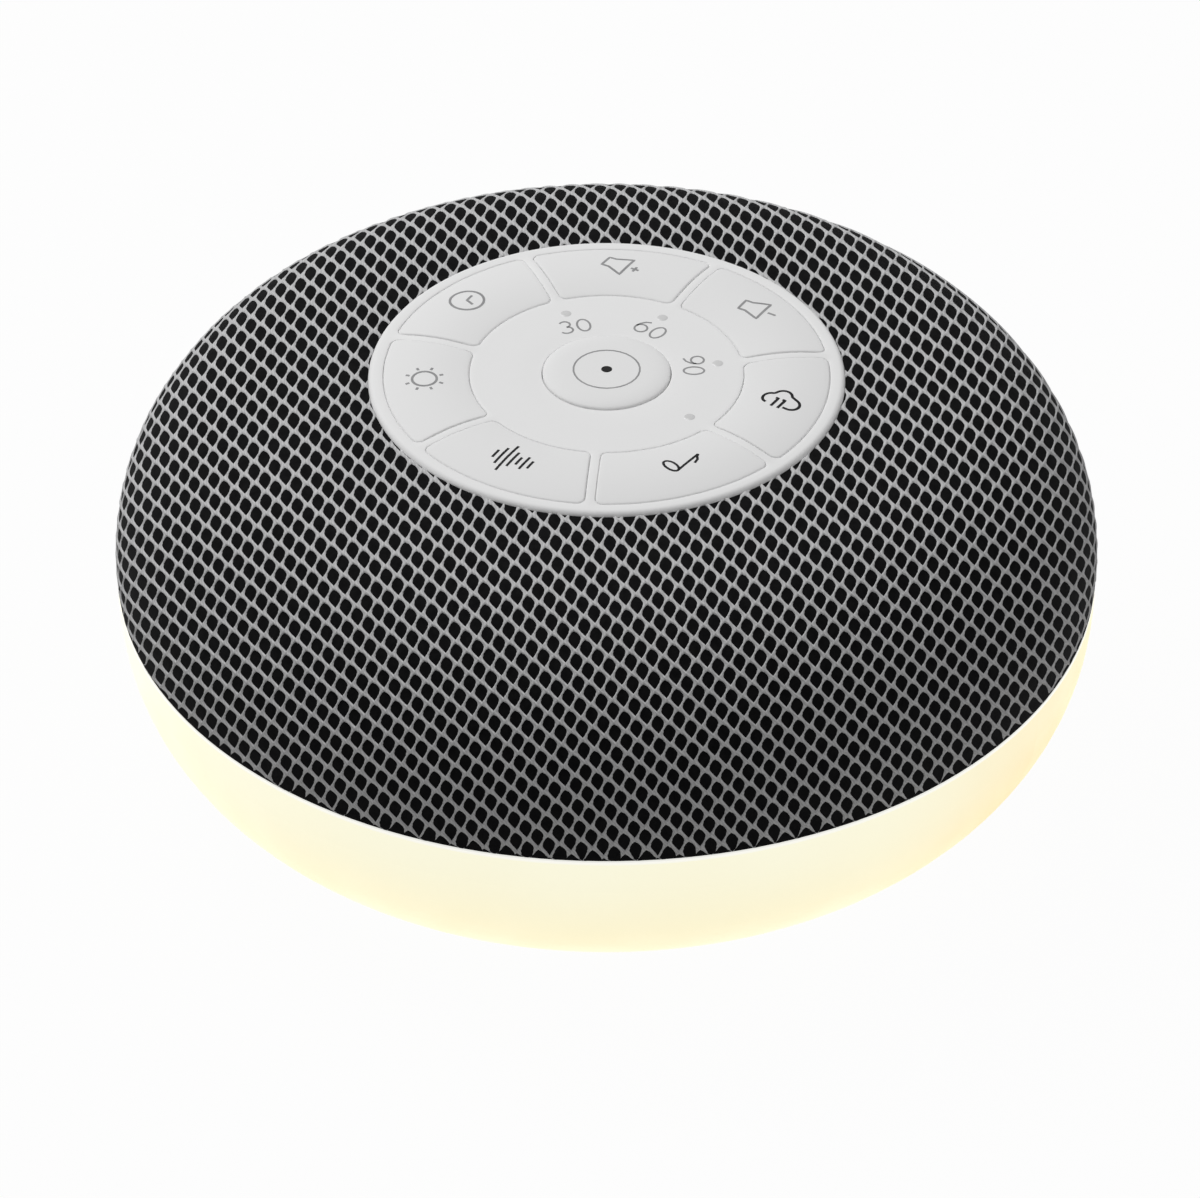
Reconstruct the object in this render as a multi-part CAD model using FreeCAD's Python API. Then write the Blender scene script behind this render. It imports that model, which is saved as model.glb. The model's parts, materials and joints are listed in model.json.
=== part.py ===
import FreeCAD, Part
import math
import os

# White noise sound machine: a fabric dome with a round key panel on top of a glowing lamp bowl.
# Millimetres, +Z up, origin on the table under the middle of the foot ring, front key towards -Y.

# Outside form
BODY_RADIUS = 72.5            # widest circle of the fabric dome
SEAM_HEIGHT = 31.9            # seam between the fabric and the lamp bowl, above the table
WIDEST_RISE = 3.4             # widest circle above the seam
SHOULDER_RADIUS = 28.8        # arc of the dome's shoulder
SHOULDER_TURN = 79.0          # degrees of that arc above the widest circle
PANEL_RADIUS = 34.8           # round control panel
BOWL_TOP_RADIUS = 50.8        # arc of the bowl just under the seam
BOWL_TOP_TURN = 6.4           # degrees of that arc
BOWL_RADIUS = 28.6            # arc of the rest of the bowl
SEAM_GAP = 0.3                # between the fabric's hem and the bowl

# Walls and fits
FABRIC_WALL = 0.8
FABRIC_GAP = 0.1              # between the fabric and the grille shell
GRILLE_WALL = 1.8
BOWL_WALL = 2.2
PLATE_WALL = 2.0              # base plate and chassis plate
SEAT_GAP = 0.1                # between parts that are fitted together
SCREW_FIT = 0.05              # round a screw in its hole
SLIDE_GAP = 0.15              # round a key in its window

# Control panel, heights measured from the top of its rim
PANEL_RISE = 0.5              # rim above the fabric's crown
RIM_WIDTH = 2.2
RIM_BEVEL = 0.9
PANEL_DEPTH = 2.0             # rim's top down to the panel's underside
SKIRT_WALL = 1.3
CROWN = 0.75                  # key surface above the rim's inner edge at mid key
DISC_RISE = 0.2               # middle disc above the rim's top
RIB_DROP = 0.25               # ribs between the keys, below the key surface

# Keys
KEY_NAMES = ("white_noise_key", "music_key", "nature_key", "volume_down_key",
             "volume_up_key", "timer_key", "light_key")
FIRST_KEY = -90.0             # degrees, the key nearest the front
KEY_INNER = 20.0              # windows of the ring of keys
KEY_OUTER = PANEL_RADIUS - RIM_WIDTH
RIB_WIDTH = 1.4
KEY_CORNER = 1.0
KEY_EDGE = 0.5                # rolled edge of a key
FLANGE = 0.45                 # lip under the window's edge
FLANGE_WALL = 0.75
KEY_TRAVEL = 0.5
KEY_REST_GAP = 0.05           # lip under the panel, and key clear of its stop
POWER_RADIUS = 9.4
POWER_RISE = 1.1              # above the middle disc
POWER_EDGE = 0.9
POST_RADIUS = 1.5

# Key switches and their board
BOARD_WALL = 1.2
SWITCH_SIDE = 4.5
SWITCH_BODY = 2.0
SWITCH_STEM = 0.7
SWITCH_STEM_RADIUS = 1.1
MAT_WALL = 0.55
BOARD_FIT = 0.4               # round the control board in the panel's skirt
BOARD_RADIUS = PANEL_RADIUS - SKIRT_WALL - BOARD_FIT
LENS_CIRCLE = 16.4
LENS_RADIUS = 0.8
INDICATOR = (1.6, 0.8)        # side and height of an indicator lamp
LENS_LIFT = 1.0               # light pipe above the board
LENS_ANGLES = (141.4, 90.0, 38.6, -12.9)
BOARD_SCREW_CIRCLE = 14.5
BOARD_SCREW_ANGLES = (64.3, 184.3, 304.3)
BOSS_WALL = 1.2
SCREW_RESERVE = 1.0           # thread left free at a screw's tip

# Screws
SCREW_RADIUS = 1.0
SCREW_HEAD_RADIUS = 1.9
SCREW_HEAD = 1.3
CASE_SCREW_RADIUS = 1.5
CASE_HEAD_RADIUS = 2.8
CASE_HEAD = 2.0
CASE_GRIP = 8.0               # thread of the case screws in their bosses
HEAD_SINK = 1.0               # screw heads below the base's face
MAIN_SCREW = 5.0

# Grille shell
WELL_FLOOR_DROP = 11.2        # panel rim's top down to the well floor's top
WELL_FLOOR_WALL = 1.6
SLOT_COUNT = 20
SLOT_WIDTH = 3.8
SLOT_CLEAR = 6.0              # degrees between a slot and a long boss
SLOT_INSETS = (20.5, 17.5, 6.5)  # ends of the two rows inside the widest circle
WELL_CLEAR = 7.2              # from the panel to the first row
SHELL_SPIGOT = 4.0
SHELL_STEPS = (0, 26, 52)     # degrees where the shell's inner side is bent
HEM_WIDTH = 3.2               # fabric turned in under the shell
RIM_STEP = 1.4                # shell's spigot inside the bowl's wall
CABLE_HOLE_RADIUS = 3.4
CABLE_ANGLE = 90.0            # the ribbon cable runs down the back
CABLE_START = 24.5            # its radius under the control board
CABLE_DROP = 39.4             # its radius beside the speaker tower

# Chassis and speaker
CHASSIS_DROP = 2.6            # seam down to the chassis plate's top
TOWER_FOOT = 36.0
TOWER_TOP = 29.0
TOWER_HEIGHT = 14.0
TOWER_WALL = 1.8
CASE_SCREW_INSET = 13.5       # long screws inside the widest circle
CASE_SCREW_CIRCLE = BODY_RADIUS - CASE_SCREW_INSET
CASE_SCREW_COUNT = 3
CASE_BOSS_RADIUS = 3.4
SPEAKER_RADIUS = 26.0
SPEAKER_BOLT_CIRCLE = 24.0
SPEAKER_FLANGE = 1.0
GASKET_WALL = 0.6
CONE_RADIUS = 18.5
SURROUND_WIDTH = 3.2
SURROUND_WALL = 0.35
CONE_WALL = 0.5
CONE_DEPTH = 7.5
COIL_RADIUS = 7.0
BASKET_DEPTH = 12.0
BASKET_ARMS = 4
BASKET_WALL = 1.0
MAGNET_RADIUS = 16.0
MAGNET_WALL = 8.0
YOKE_WALL = 2.0
YOKE_STEP = 1.5               # yoke inside the magnet's edge
COIL_DIP = 1.2                # voice coil above the magnet
CAP_RISE = 2.4

# Base
FOOT_RING = (29.0, 37.5)      # inner and outer radius, over the base screws
FOOT_SEAT = 0.8               # depth of its groove
FOOT_EDGE = 0.3
BASE_RADIUS = 42.0
BASE_SPIGOT = 3.2
SPIGOT_WALL = 1.5
LIP_WIDTH = 3.0               # bowl's inner lip over the base plate
BASE_SCREW_CIRCLE = 32.8
BASE_SCREW_COUNT = 3
BASE_SCREW_START = -90.0
BASE_POST_RADIUS = 3.6
POST_JOINT = 9.0              # height above the table where the base's bosses meet the posts

# Lamp
LAMP_BOARD = (47.0, 56.0)     # inner and outer radius of the ring board
LAMP_BOARD_WALL = 1.0
LAMP_BOARD_DROP = 1.4         # chassis down to the board
LAMP_COUNT = 16
LAMP_SIDE = 2.8
LAMP_DEPTH = 0.8
SPACER_RADIUS = 2.0
REFLECTOR = (40.6, 45.4)      # radius at the base and at the lamp board
REFLECTOR_WALL = 0.8
REFLECTOR_LIP = 2.0
GATE_DEPTH = 16.0             # opening in the reflector for the main board

# Main board, power inlet and battery
MAIN_WIDTH = 34.0
MAIN_START = 6.0              # front edge, along Y
MAIN_HEIGHT = 9.8             # underside above the table
MAIN_CORNER = 2.0
POST_INSET = 3.0              # main board's posts from its edges
POST_SPAN = 24.0              # between its front and rear posts
CHIPS = ((0, 18, 7, 7, 1.0), (-9, 26, 5, 4, 1.4), (9, 20, 6, 5, 2.8), (8, 35, 4, 3, 1.0))
CAN = (2.5, 5.5)              # capacitor's radius and height
CAN_SPOTS = ((-10, 46), (10, 46))
SOCKET_INSET = 13.0           # inlet's mouth inside the widest circle
SOCKET_MOUTH = BODY_RADIUS - SOCKET_INSET
SOCKET = (9.0, 7.4, 3.2)
SOCKET_WALL = 0.35
TONGUE = (6.7, 5.9, 0.7)
PLUG_BAY = (13.0, 7.4)        # recess that takes a plug's body
BAY_WALL = 1.4
BAY_CORNER = 1.6
BATTERY = (50.0, 26.0, 6.0)
BATTERY_CORNER = 2.6
BATTERY_CENTRE_Y = -13.6
TRAY_WALL = 1.2
TRAY_HEIGHT = 4.0
RIBBON_WIDTH = 5.0
RIBBON_WALL = 0.3
LEAD_WIDTH = 2.6
LEAD_WALL = 1.2
LEAD_BEND = 2.0
LEAD_INSET = 4.0              # leads end this far inside an edge
BATTERY_LEAD_INSET = 3.0
BATTERY_LEAD_SIDE = 7.0
CABLE_CLEAR = 2.0             # ribbon cable below the well floor

UP = FreeCAD.Vector(0, 0, 1)
ZERO = FreeCAD.Vector(0, 0, 0)
KEY_PITCH = 360.0 / len(KEY_NAMES)


def rad(angle):
    return math.radians(angle)


def polar(radius, angle, z=0.0):
    """Point at a radius and an angle in degrees about the body's axis."""
    return FreeCAD.Vector(radius * math.cos(rad(angle)), radius * math.sin(rad(angle)), z)


# Dome: two tangent arcs, and surfaces offset inward from them
SHOULDER_R = BODY_RADIUS - SHOULDER_RADIUS
SHOULDER_Z = SEAM_HEIGHT + WIDEST_RISE
CROWN_SHIFT = (SHOULDER_R - PANEL_RADIUS) / math.cos(rad(SHOULDER_TURN))
CROWN_RADIUS = SHOULDER_RADIUS + CROWN_SHIFT
CROWN_Z = SHOULDER_Z - CROWN_SHIFT * math.sin(rad(SHOULDER_TURN))
DOME_TOP = CROWN_Z + CROWN_RADIUS
RIM_TOP = DOME_TOP + PANEL_RISE


def shoulder_point(offset, angle):
    """Point of the shoulder arc, offset inward, at an angle above the widest circle."""
    radius = SHOULDER_RADIUS - offset
    return (SHOULDER_R + radius * math.cos(rad(angle)), SHOULDER_Z + radius * math.sin(rad(angle)))


def shoulder_radius_at(offset, z):
    """Radius of the offset shoulder at a height near the widest circle."""
    return SHOULDER_R + math.sqrt((SHOULDER_RADIUS - offset) ** 2 - (z - SHOULDER_Z) ** 2)


def dome_height_at(offset, r):
    """Height of the offset dome over a radius."""
    if r < shoulder_point(offset, SHOULDER_TURN)[0]:
        return CROWN_Z + math.sqrt((CROWN_RADIUS - offset) ** 2 - (r - PANEL_RADIUS) ** 2)
    return SHOULDER_Z + math.sqrt((SHOULDER_RADIUS - offset) ** 2 - (r - SHOULDER_R) ** 2)


class Outline:
    """A closed outline in the (radius, height) half plane, for turned parts."""

    def __init__(self, r, z):
        self.start = self.at = (r, z)
        self.edges = []

    def line(self, r, z):
        if math.dist(self.at, (r, z)) > 1e-7:
            self.edges.append(Part.LineSegment(self.vector(self.at), self.vector((r, z))).toShape())
        self.at = (r, z)
        return self

    def arc(self, middle, end):
        points = [self.vector(p) for p in (self.at, middle, end)]
        self.edges.append(Part.Arc(*points).toShape())
        self.at = end
        return self

    def dome(self, offset, z_low, r_top, rising=True):
        """The offset dome between a low height and a radius near its top, in either direction."""
        low = (shoulder_radius_at(offset, z_low), z_low)
        tilt = math.degrees(math.asin((z_low - SHOULDER_Z) / (SHOULDER_RADIUS - offset)))
        half = shoulder_point(offset, (tilt + SHOULDER_TURN) / 2)
        knee = shoulder_point(offset, SHOULDER_TURN)
        near_r = (knee[0] + r_top) / 2
        near = (near_r, dome_height_at(offset, near_r))
        top = (r_top, dome_height_at(offset, r_top))
        if rising:
            return self.line(*low).arc(half, knee).arc(near, top)
        return self.line(*top).arc(near, knee).arc(half, low)

    @staticmethod
    def vector(point):
        return FreeCAD.Vector(point[0], 0, point[1])

    def turned(self):
        self.line(*self.start)
        return Part.Face(Part.Wire(self.edges)).revolve(ZERO, UP, 360)


def ring(inner, outer, low, high):
    """A plain ring or disc."""
    body = Part.makeCylinder(outer, high - low, FreeCAD.Vector(0, 0, low))
    if inner > 0:
        body = body.cut(Part.makeCylinder(inner, high - low, FreeCAD.Vector(0, 0, low)))
    return body


def pin(radius, point, height):
    return Part.makeCylinder(radius, height, point)


def box(x, y, z, size_x, size_y, size_z):
    """A block centred on x and y that stands on z."""
    return Part.makeBox(size_x, size_y, size_z, FreeCAD.Vector(x - size_x / 2, y - size_y / 2, z))


def turned_about(shape, angle):
    copy = shape.copy()
    copy.rotate(ZERO, UP, angle)
    return copy


def group(shapes):
    return Part.makeCompound(shapes)


def fused(first, *others):
    return first.fuse(list(others)).removeSplitter()


def screw(point, radius, length, head_radius, head):
    """A pan screw driven upward: its head hangs below the point."""
    low = point - FreeCAD.Vector(0, 0, head)
    return fused(pin(radius, point, length), pin(head_radius, low, head))


# Stack under the panel, from the top down
PANEL_UNDER = RIM_TOP - PANEL_DEPTH
DISC_TOP = RIM_TOP + DISC_RISE
FLANGE_TOP = PANEL_UNDER - KEY_REST_GAP
FLANGE_LOW = FLANGE_TOP - FLANGE_WALL
MAT_TOP = FLANGE_LOW - KEY_TRAVEL - KEY_REST_GAP
WELL_FLOOR = RIM_TOP - WELL_FLOOR_DROP
BOARD_TOP = MAT_TOP - MAT_WALL - SWITCH_BODY - SWITCH_STEM - SEAT_GAP
BOARD_LOW = BOARD_TOP - BOARD_WALL
SWITCH_TOP = BOARD_TOP + SWITCH_BODY + SWITCH_STEM
POST_LOW = SWITCH_TOP + KEY_TRAVEL + KEY_REST_GAP
WELL_RADIUS = PANEL_RADIUS + SEAT_GAP
SKIRT_INNER = PANEL_RADIUS - SKIRT_WALL
MID_KEY = (KEY_INNER + KEY_OUTER) / 2
SCREW_BOSS = SCREW_RADIUS + BOSS_WALL


# Control panel, keys and what lies under them

def crowned_ring(drop, low, inner, outer):
    """The pillowed ring that the key faces are cut from."""
    rim = (KEY_OUTER, RIM_TOP - drop)
    peak = (MID_KEY, RIM_TOP + CROWN - drop)
    hub = (KEY_INNER, DISC_TOP - drop)
    curve = Part.Arc(*[Outline.vector(p) for p in (rim, peak, hub)]).toShape().Curve
    span = [curve.Center.z + math.sqrt(curve.Radius ** 2 - (r - curve.Center.x) ** 2) for r in (inner, outer)]
    return Outline(inner, low).line(outer, low).line(outer, span[1]).arc(peak, (inner, span[0])).turned()


def sector(inner, outer, side, corner, low, high, angle):
    """A key-shaped prism between two circles, its sides parallel to the ribs beside it."""
    half = KEY_PITCH / 2
    tip = FreeCAD.Vector(side / math.sin(rad(half)), 0, low)
    corners = [tip, tip + polar(2 * outer, -half), tip + polar(2 * outer, half), tip]
    wedge = Part.Face(Part.makePolygon(corners)).extrude(UP * (high - low))
    key = ring(inner, outer, low, high).common(wedge)
    if corner > 0:
        key = key.makeFillet(corner, upright_edges(key))
    return turned_about(key, angle)


def upright_edges(shape):
    found = []
    for edge in shape.Edges:
        ends = [v.Point for v in edge.Vertexes]
        if len(ends) == 2 and math.hypot(ends[0].x - ends[1].x, ends[0].y - ends[1].y) < 1e-6:
            found.append(edge)
    return found


def key_angle(index):
    return FIRST_KEY + index * KEY_PITCH


def sector_key(index):
    """One key: crowned cap in its window, lip under the panel and a post over its switch."""
    angle = key_angle(index)
    high = RIM_TOP + CROWN + 1
    inner = KEY_INNER + SLIDE_GAP
    outer = KEY_OUTER - SLIDE_GAP
    side = RIB_WIDTH / 2 + SLIDE_GAP
    body = crowned_ring(0, FLANGE_LOW, inner - SLIDE_GAP, outer + SLIDE_GAP)
    cap = body.common(sector(inner, outer, side, KEY_CORNER, FLANGE_LOW, high, angle))
    top = max(cap.Faces, key=lambda face: face.CenterOfMass.z)
    cap = cap.makeChamfer(KEY_EDGE, top.OuterWire.Edges)
    grow = FLANGE + SLIDE_GAP
    lip = sector(inner - grow, outer + grow, side - FLANGE, 0, FLANGE_LOW, FLANGE_TOP, angle)
    post = pin(POST_RADIUS, polar(MID_KEY, angle, POST_LOW), FLANGE_LOW - POST_LOW)
    return fused(cap, lip, post)


def power_key():
    """The round key in the middle, with a rolled edge."""
    top = DISC_TOP + POWER_RISE
    roll = POWER_EDGE * (1 - math.sqrt(0.5))
    lip = POWER_RADIUS + SLIDE_GAP + FLANGE
    outline = Outline(0, POST_LOW).line(POST_RADIUS, POST_LOW).line(POST_RADIUS, FLANGE_LOW)
    outline.line(lip, FLANGE_LOW).line(lip, FLANGE_TOP).line(POWER_RADIUS, FLANGE_TOP)
    outline.line(POWER_RADIUS, top - POWER_EDGE)
    outline.arc((POWER_RADIUS - roll, top - roll), (POWER_RADIUS - POWER_EDGE, top)).line(0, top)
    return outline.turned()


def control_panel():
    """Rim, skirt, ribs between the keys and the middle disc, moulded in one piece."""
    skirt_low = WELL_FLOOR + SEAT_GAP
    rim_inner = PANEL_RADIUS - RIM_WIDTH
    outline = Outline(SKIRT_INNER, skirt_low).line(PANEL_RADIUS, skirt_low)
    outline.line(PANEL_RADIUS, RIM_TOP - RIM_BEVEL)
    bevel = RIM_BEVEL * (1 - math.sqrt(0.5))
    outline.arc((PANEL_RADIUS - bevel, RIM_TOP - bevel), (PANEL_RADIUS - RIM_BEVEL, RIM_TOP))
    outline.line(rim_inner, RIM_TOP).line(rim_inner, PANEL_UNDER).line(SKIRT_INNER, PANEL_UNDER)
    rim = outline.turned()
    ribs = crowned_ring(RIB_DROP, PANEL_UNDER, KEY_INNER - 1, KEY_OUTER)
    hub = Outline(0, PANEL_UNDER).line(KEY_INNER, PANEL_UNDER).line(KEY_INNER, DISC_TOP - KEY_EDGE)
    roll = KEY_EDGE * (1 - math.sqrt(0.5))
    hub.arc((KEY_INNER - roll, DISC_TOP - roll), (KEY_INNER - KEY_EDGE, DISC_TOP)).line(0, DISC_TOP)
    bosses = []
    for angle in BOARD_SCREW_ANGLES:
        bosses.append(pin(SCREW_BOSS, polar(BOARD_SCREW_CIRCLE, angle, BOARD_TOP), PANEL_UNDER - BOARD_TOP))
    body = fused(rim, ribs, hub.turned(), *bosses)
    holes = [pin(POWER_RADIUS + SLIDE_GAP, FreeCAD.Vector(0, 0, PANEL_UNDER), PANEL_DEPTH + 1)]
    for index in range(len(KEY_NAMES)):
        holes.append(sector(KEY_INNER, KEY_OUTER, RIB_WIDTH / 2, KEY_CORNER + SLIDE_GAP,
                            PANEL_UNDER, RIM_TOP + 2 * CROWN, key_angle(index)))
    for angle in LENS_ANGLES:
        holes.append(pin(LENS_RADIUS + SCREW_FIT, polar(LENS_CIRCLE, angle, PANEL_UNDER), PANEL_DEPTH + 1))
    for angle in BOARD_SCREW_ANGLES:
        depth = PANEL_UNDER - BOARD_TOP
        holes.append(pin(SCREW_RADIUS + SCREW_FIT, polar(BOARD_SCREW_CIRCLE, angle, BOARD_TOP), depth))
    return body.cut(group(holes))


def key_mat():
    """Soft boot over the switches: it stops the keys and keeps dust out."""
    under = MAT_TOP - MAT_WALL
    wall = BOARD_RADIUS - BOSS_WALL
    outline = Outline(0, under).line(wall, under).line(wall, BOARD_TOP)
    outline.line(BOARD_RADIUS, BOARD_TOP).line(BOARD_RADIUS, MAT_TOP).line(0, MAT_TOP)
    holes = [pin(POST_RADIUS + 2 * SLIDE_GAP, FreeCAD.Vector(0, 0, under), MAT_WALL)]
    for index in range(len(KEY_NAMES)):
        holes.append(pin(POST_RADIUS + 2 * SLIDE_GAP, polar(MID_KEY, key_angle(index), under), MAT_WALL))
    for angle in BOARD_SCREW_ANGLES:
        holes.append(pin(SCREW_BOSS + SEAT_GAP, polar(BOARD_SCREW_CIRCLE, angle, under), MAT_WALL))
    for angle in LENS_ANGLES:
        holes.append(pin(LENS_RADIUS + SEAT_GAP, polar(LENS_CIRCLE, angle, under), MAT_WALL))
    return outline.turned().cut(group(holes))


def control_board():
    board = ring(0, BOARD_RADIUS, BOARD_LOW, BOARD_TOP)
    feet = [polar(BOARD_SCREW_CIRCLE, angle, BOARD_LOW) for angle in BOARD_SCREW_ANGLES]
    return board.cut(group([pin(SCREW_RADIUS + SCREW_FIT, foot, BOARD_WALL) for foot in feet]))


def tact_switch(point):
    body = box(point.x, point.y, BOARD_TOP, SWITCH_SIDE, SWITCH_SIDE, SWITCH_BODY)
    stem = pin(SWITCH_STEM_RADIUS, FreeCAD.Vector(point.x, point.y, BOARD_TOP + SWITCH_BODY), SWITCH_STEM)
    return fused(body, stem)


def tact_switches():
    places = [ZERO] + [polar(MID_KEY, key_angle(i)) for i in range(len(KEY_NAMES))]
    return group([tact_switch(place) for place in places])


def indicator_leds():
    side, height = INDICATOR
    spots = [polar(LENS_CIRCLE, angle) for angle in LENS_ANGLES]
    return group([box(spot.x, spot.y, BOARD_TOP, side, side, height) for spot in spots])


def indicator_lenses():
    """Light pipes from the indicator lamps to the panel's surface."""
    low = BOARD_TOP + LENS_LIFT
    return group([pin(LENS_RADIUS, polar(LENS_CIRCLE, angle, low), DISC_TOP - low) for angle in LENS_ANGLES])


def board_screws():
    """Screws through the well floor and the board into the panel's bosses."""
    length = PANEL_UNDER - WELL_FLOOR + WELL_FLOOR_WALL - SCREW_RESERVE
    feet = [polar(BOARD_SCREW_CIRCLE, angle, WELL_FLOOR - WELL_FLOOR_WALL) for angle in BOARD_SCREW_ANGLES]
    return group([screw(foot, SCREW_RADIUS, length, SCREW_HEAD_RADIUS, SCREW_HEAD) for foot in feet])


# Fabric, grille shell and bowl

def fabric_cover():
    """Stretched mesh with its hem turned in under the grille shell's edge."""
    inner_top = WELL_RADIUS
    outline = Outline(shoulder_radius_at(0, SEAM_HEIGHT), SEAM_HEIGHT)
    outline.dome(0, SEAM_HEIGHT, inner_top)
    outline.dome(FABRIC_WALL, SEAM_HEIGHT + FABRIC_WALL, inner_top, rising=False)
    hem_inner = shoulder_radius_at(0, SEAM_HEIGHT) - HEM_WIDTH
    outline.line(hem_inner, SEAM_HEIGHT + FABRIC_WALL).line(hem_inner, SEAM_HEIGHT)
    return outline.turned()


SHELL_OFFSET = FABRIC_WALL + FABRIC_GAP
SHELL_LOW = SEAM_HEIGHT + FABRIC_WALL + FABRIC_GAP
CHASSIS_TOP = SEAM_HEIGHT - CHASSIS_DROP
CHASSIS_LOW = CHASSIS_TOP - PLATE_WALL
SPIGOT_OUTER = shoulder_radius_at(0, SEAM_HEIGHT) - BOWL_WALL - 2 * SEAT_GAP - RIM_STEP
SPIGOT_INNER = SPIGOT_OUTER - GRILLE_WALL


def case_screw_points(z):
    step = 360.0 / CASE_SCREW_COUNT
    return [polar(CASE_SCREW_CIRCLE, step * (i + 0.5), z) for i in range(CASE_SCREW_COUNT)]


def grille_shell():
    """Perforated dome under the fabric, with the panel's well and long screw bosses."""
    inner = SHELL_OFFSET + GRILLE_WALL
    floor_low = WELL_FLOOR - WELL_FLOOR_WALL
    well_outer = WELL_RADIUS + GRILLE_WALL
    spigot_low = SHELL_LOW - SHELL_SPIGOT
    outline = Outline(0, floor_low).line(0, WELL_FLOOR).line(WELL_RADIUS, WELL_FLOOR)
    outline.dome(SHELL_OFFSET, SHELL_LOW, WELL_RADIUS, rising=False)
    outline.line(SPIGOT_OUTER, SHELL_LOW).line(SPIGOT_OUTER, spigot_low).line(SPIGOT_INNER, spigot_low)
    for angle in (*SHELL_STEPS, SHOULDER_TURN):
        outline.line(*shoulder_point(inner, angle))
    outline.line(well_outer, dome_height_at(inner, well_outer)).line(well_outer, floor_low)
    shell = outline.turned()
    added = []
    roof = dome_height_at(SHELL_OFFSET + GRILLE_WALL / 2, CASE_SCREW_CIRCLE + CASE_BOSS_RADIUS)
    for point in case_screw_points(CHASSIS_TOP):
        added.append(pin(CASE_BOSS_RADIUS, point, roof - CHASSIS_TOP))
    for angle in BOARD_SCREW_ANGLES:
        foot = polar(BOARD_SCREW_CIRCLE, angle, WELL_FLOOR)
        added.append(pin(SCREW_BOSS, foot, BOARD_LOW - WELL_FLOOR))
    shell = fused(shell, *added)
    cuts = []
    for point in case_screw_points(CHASSIS_TOP):
        cuts.append(pin(CASE_SCREW_RADIUS + SCREW_FIT, point, CASE_GRIP + SCREW_RESERVE))
    for angle in BOARD_SCREW_ANGLES:
        foot = polar(BOARD_SCREW_CIRCLE, angle, floor_low)
        cuts.append(pin(SCREW_RADIUS + SCREW_FIT, foot, BOARD_LOW - floor_low))
    cuts.append(pin(CABLE_HOLE_RADIUS, polar(CABLE_START, CABLE_ANGLE, floor_low), WELL_FLOOR_WALL))
    return shell.cut(group(cuts)).cut(group(grille_slots()))


def grille_slots():
    """Radial slots in rows round the shoulder, clear of the long bosses."""
    slots = []
    boss_angles = [360.0 / CASE_SCREW_COUNT * (i + 0.5) for i in range(CASE_SCREW_COUNT)]
    first_end, second_start, second_end = [BODY_RADIUS - inset for inset in SLOT_INSETS]
    rows = ((PANEL_RADIUS + WELL_CLEAR, first_end), (second_start, second_end))
    for row, (start, end) in enumerate(rows):
        for i in range(SLOT_COUNT):
            angle = 360.0 / SLOT_COUNT * (i + 0.5 * (row % 2))
            near = min(abs((angle - boss + 180) % 360 - 180) for boss in boss_angles)
            if row and near < SLOT_CLEAR:
                continue
            low = dome_height_at(SHELL_OFFSET + GRILLE_WALL, end) - SEAT_GAP
            blade = box((start + end) / 2, 0, low, end - start, SLOT_WIDTH, DOME_TOP - low)
            slots.append(turned_about(blade, angle))
    return slots


BOWL_TOP = SEAM_HEIGHT - SEAM_GAP


def bowl_arcs(offset):
    """Centres of the bowl's two arcs and where they meet, offset inward."""
    top_r = shoulder_radius_at(0, SEAM_HEIGHT)
    upper = (top_r - BOWL_TOP_RADIUS, BOWL_TOP)
    turn = rad(BOWL_TOP_TURN)
    step = BOWL_TOP_RADIUS - BOWL_RADIUS
    lower = (upper[0] + step * math.cos(turn), upper[1] - step * math.sin(turn))
    return upper, lower, BOWL_TOP_RADIUS - offset, BOWL_RADIUS - offset


def bowl_point(centre, radius, angle):
    return (centre[0] + radius * math.cos(rad(angle)), centre[1] - radius * math.sin(rad(angle)))


def bowl_radius_at(offset, z):
    _, lower, _, radius = bowl_arcs(offset)
    return lower[0] + math.sqrt(radius ** 2 - (lower[1] - z) ** 2)


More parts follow.
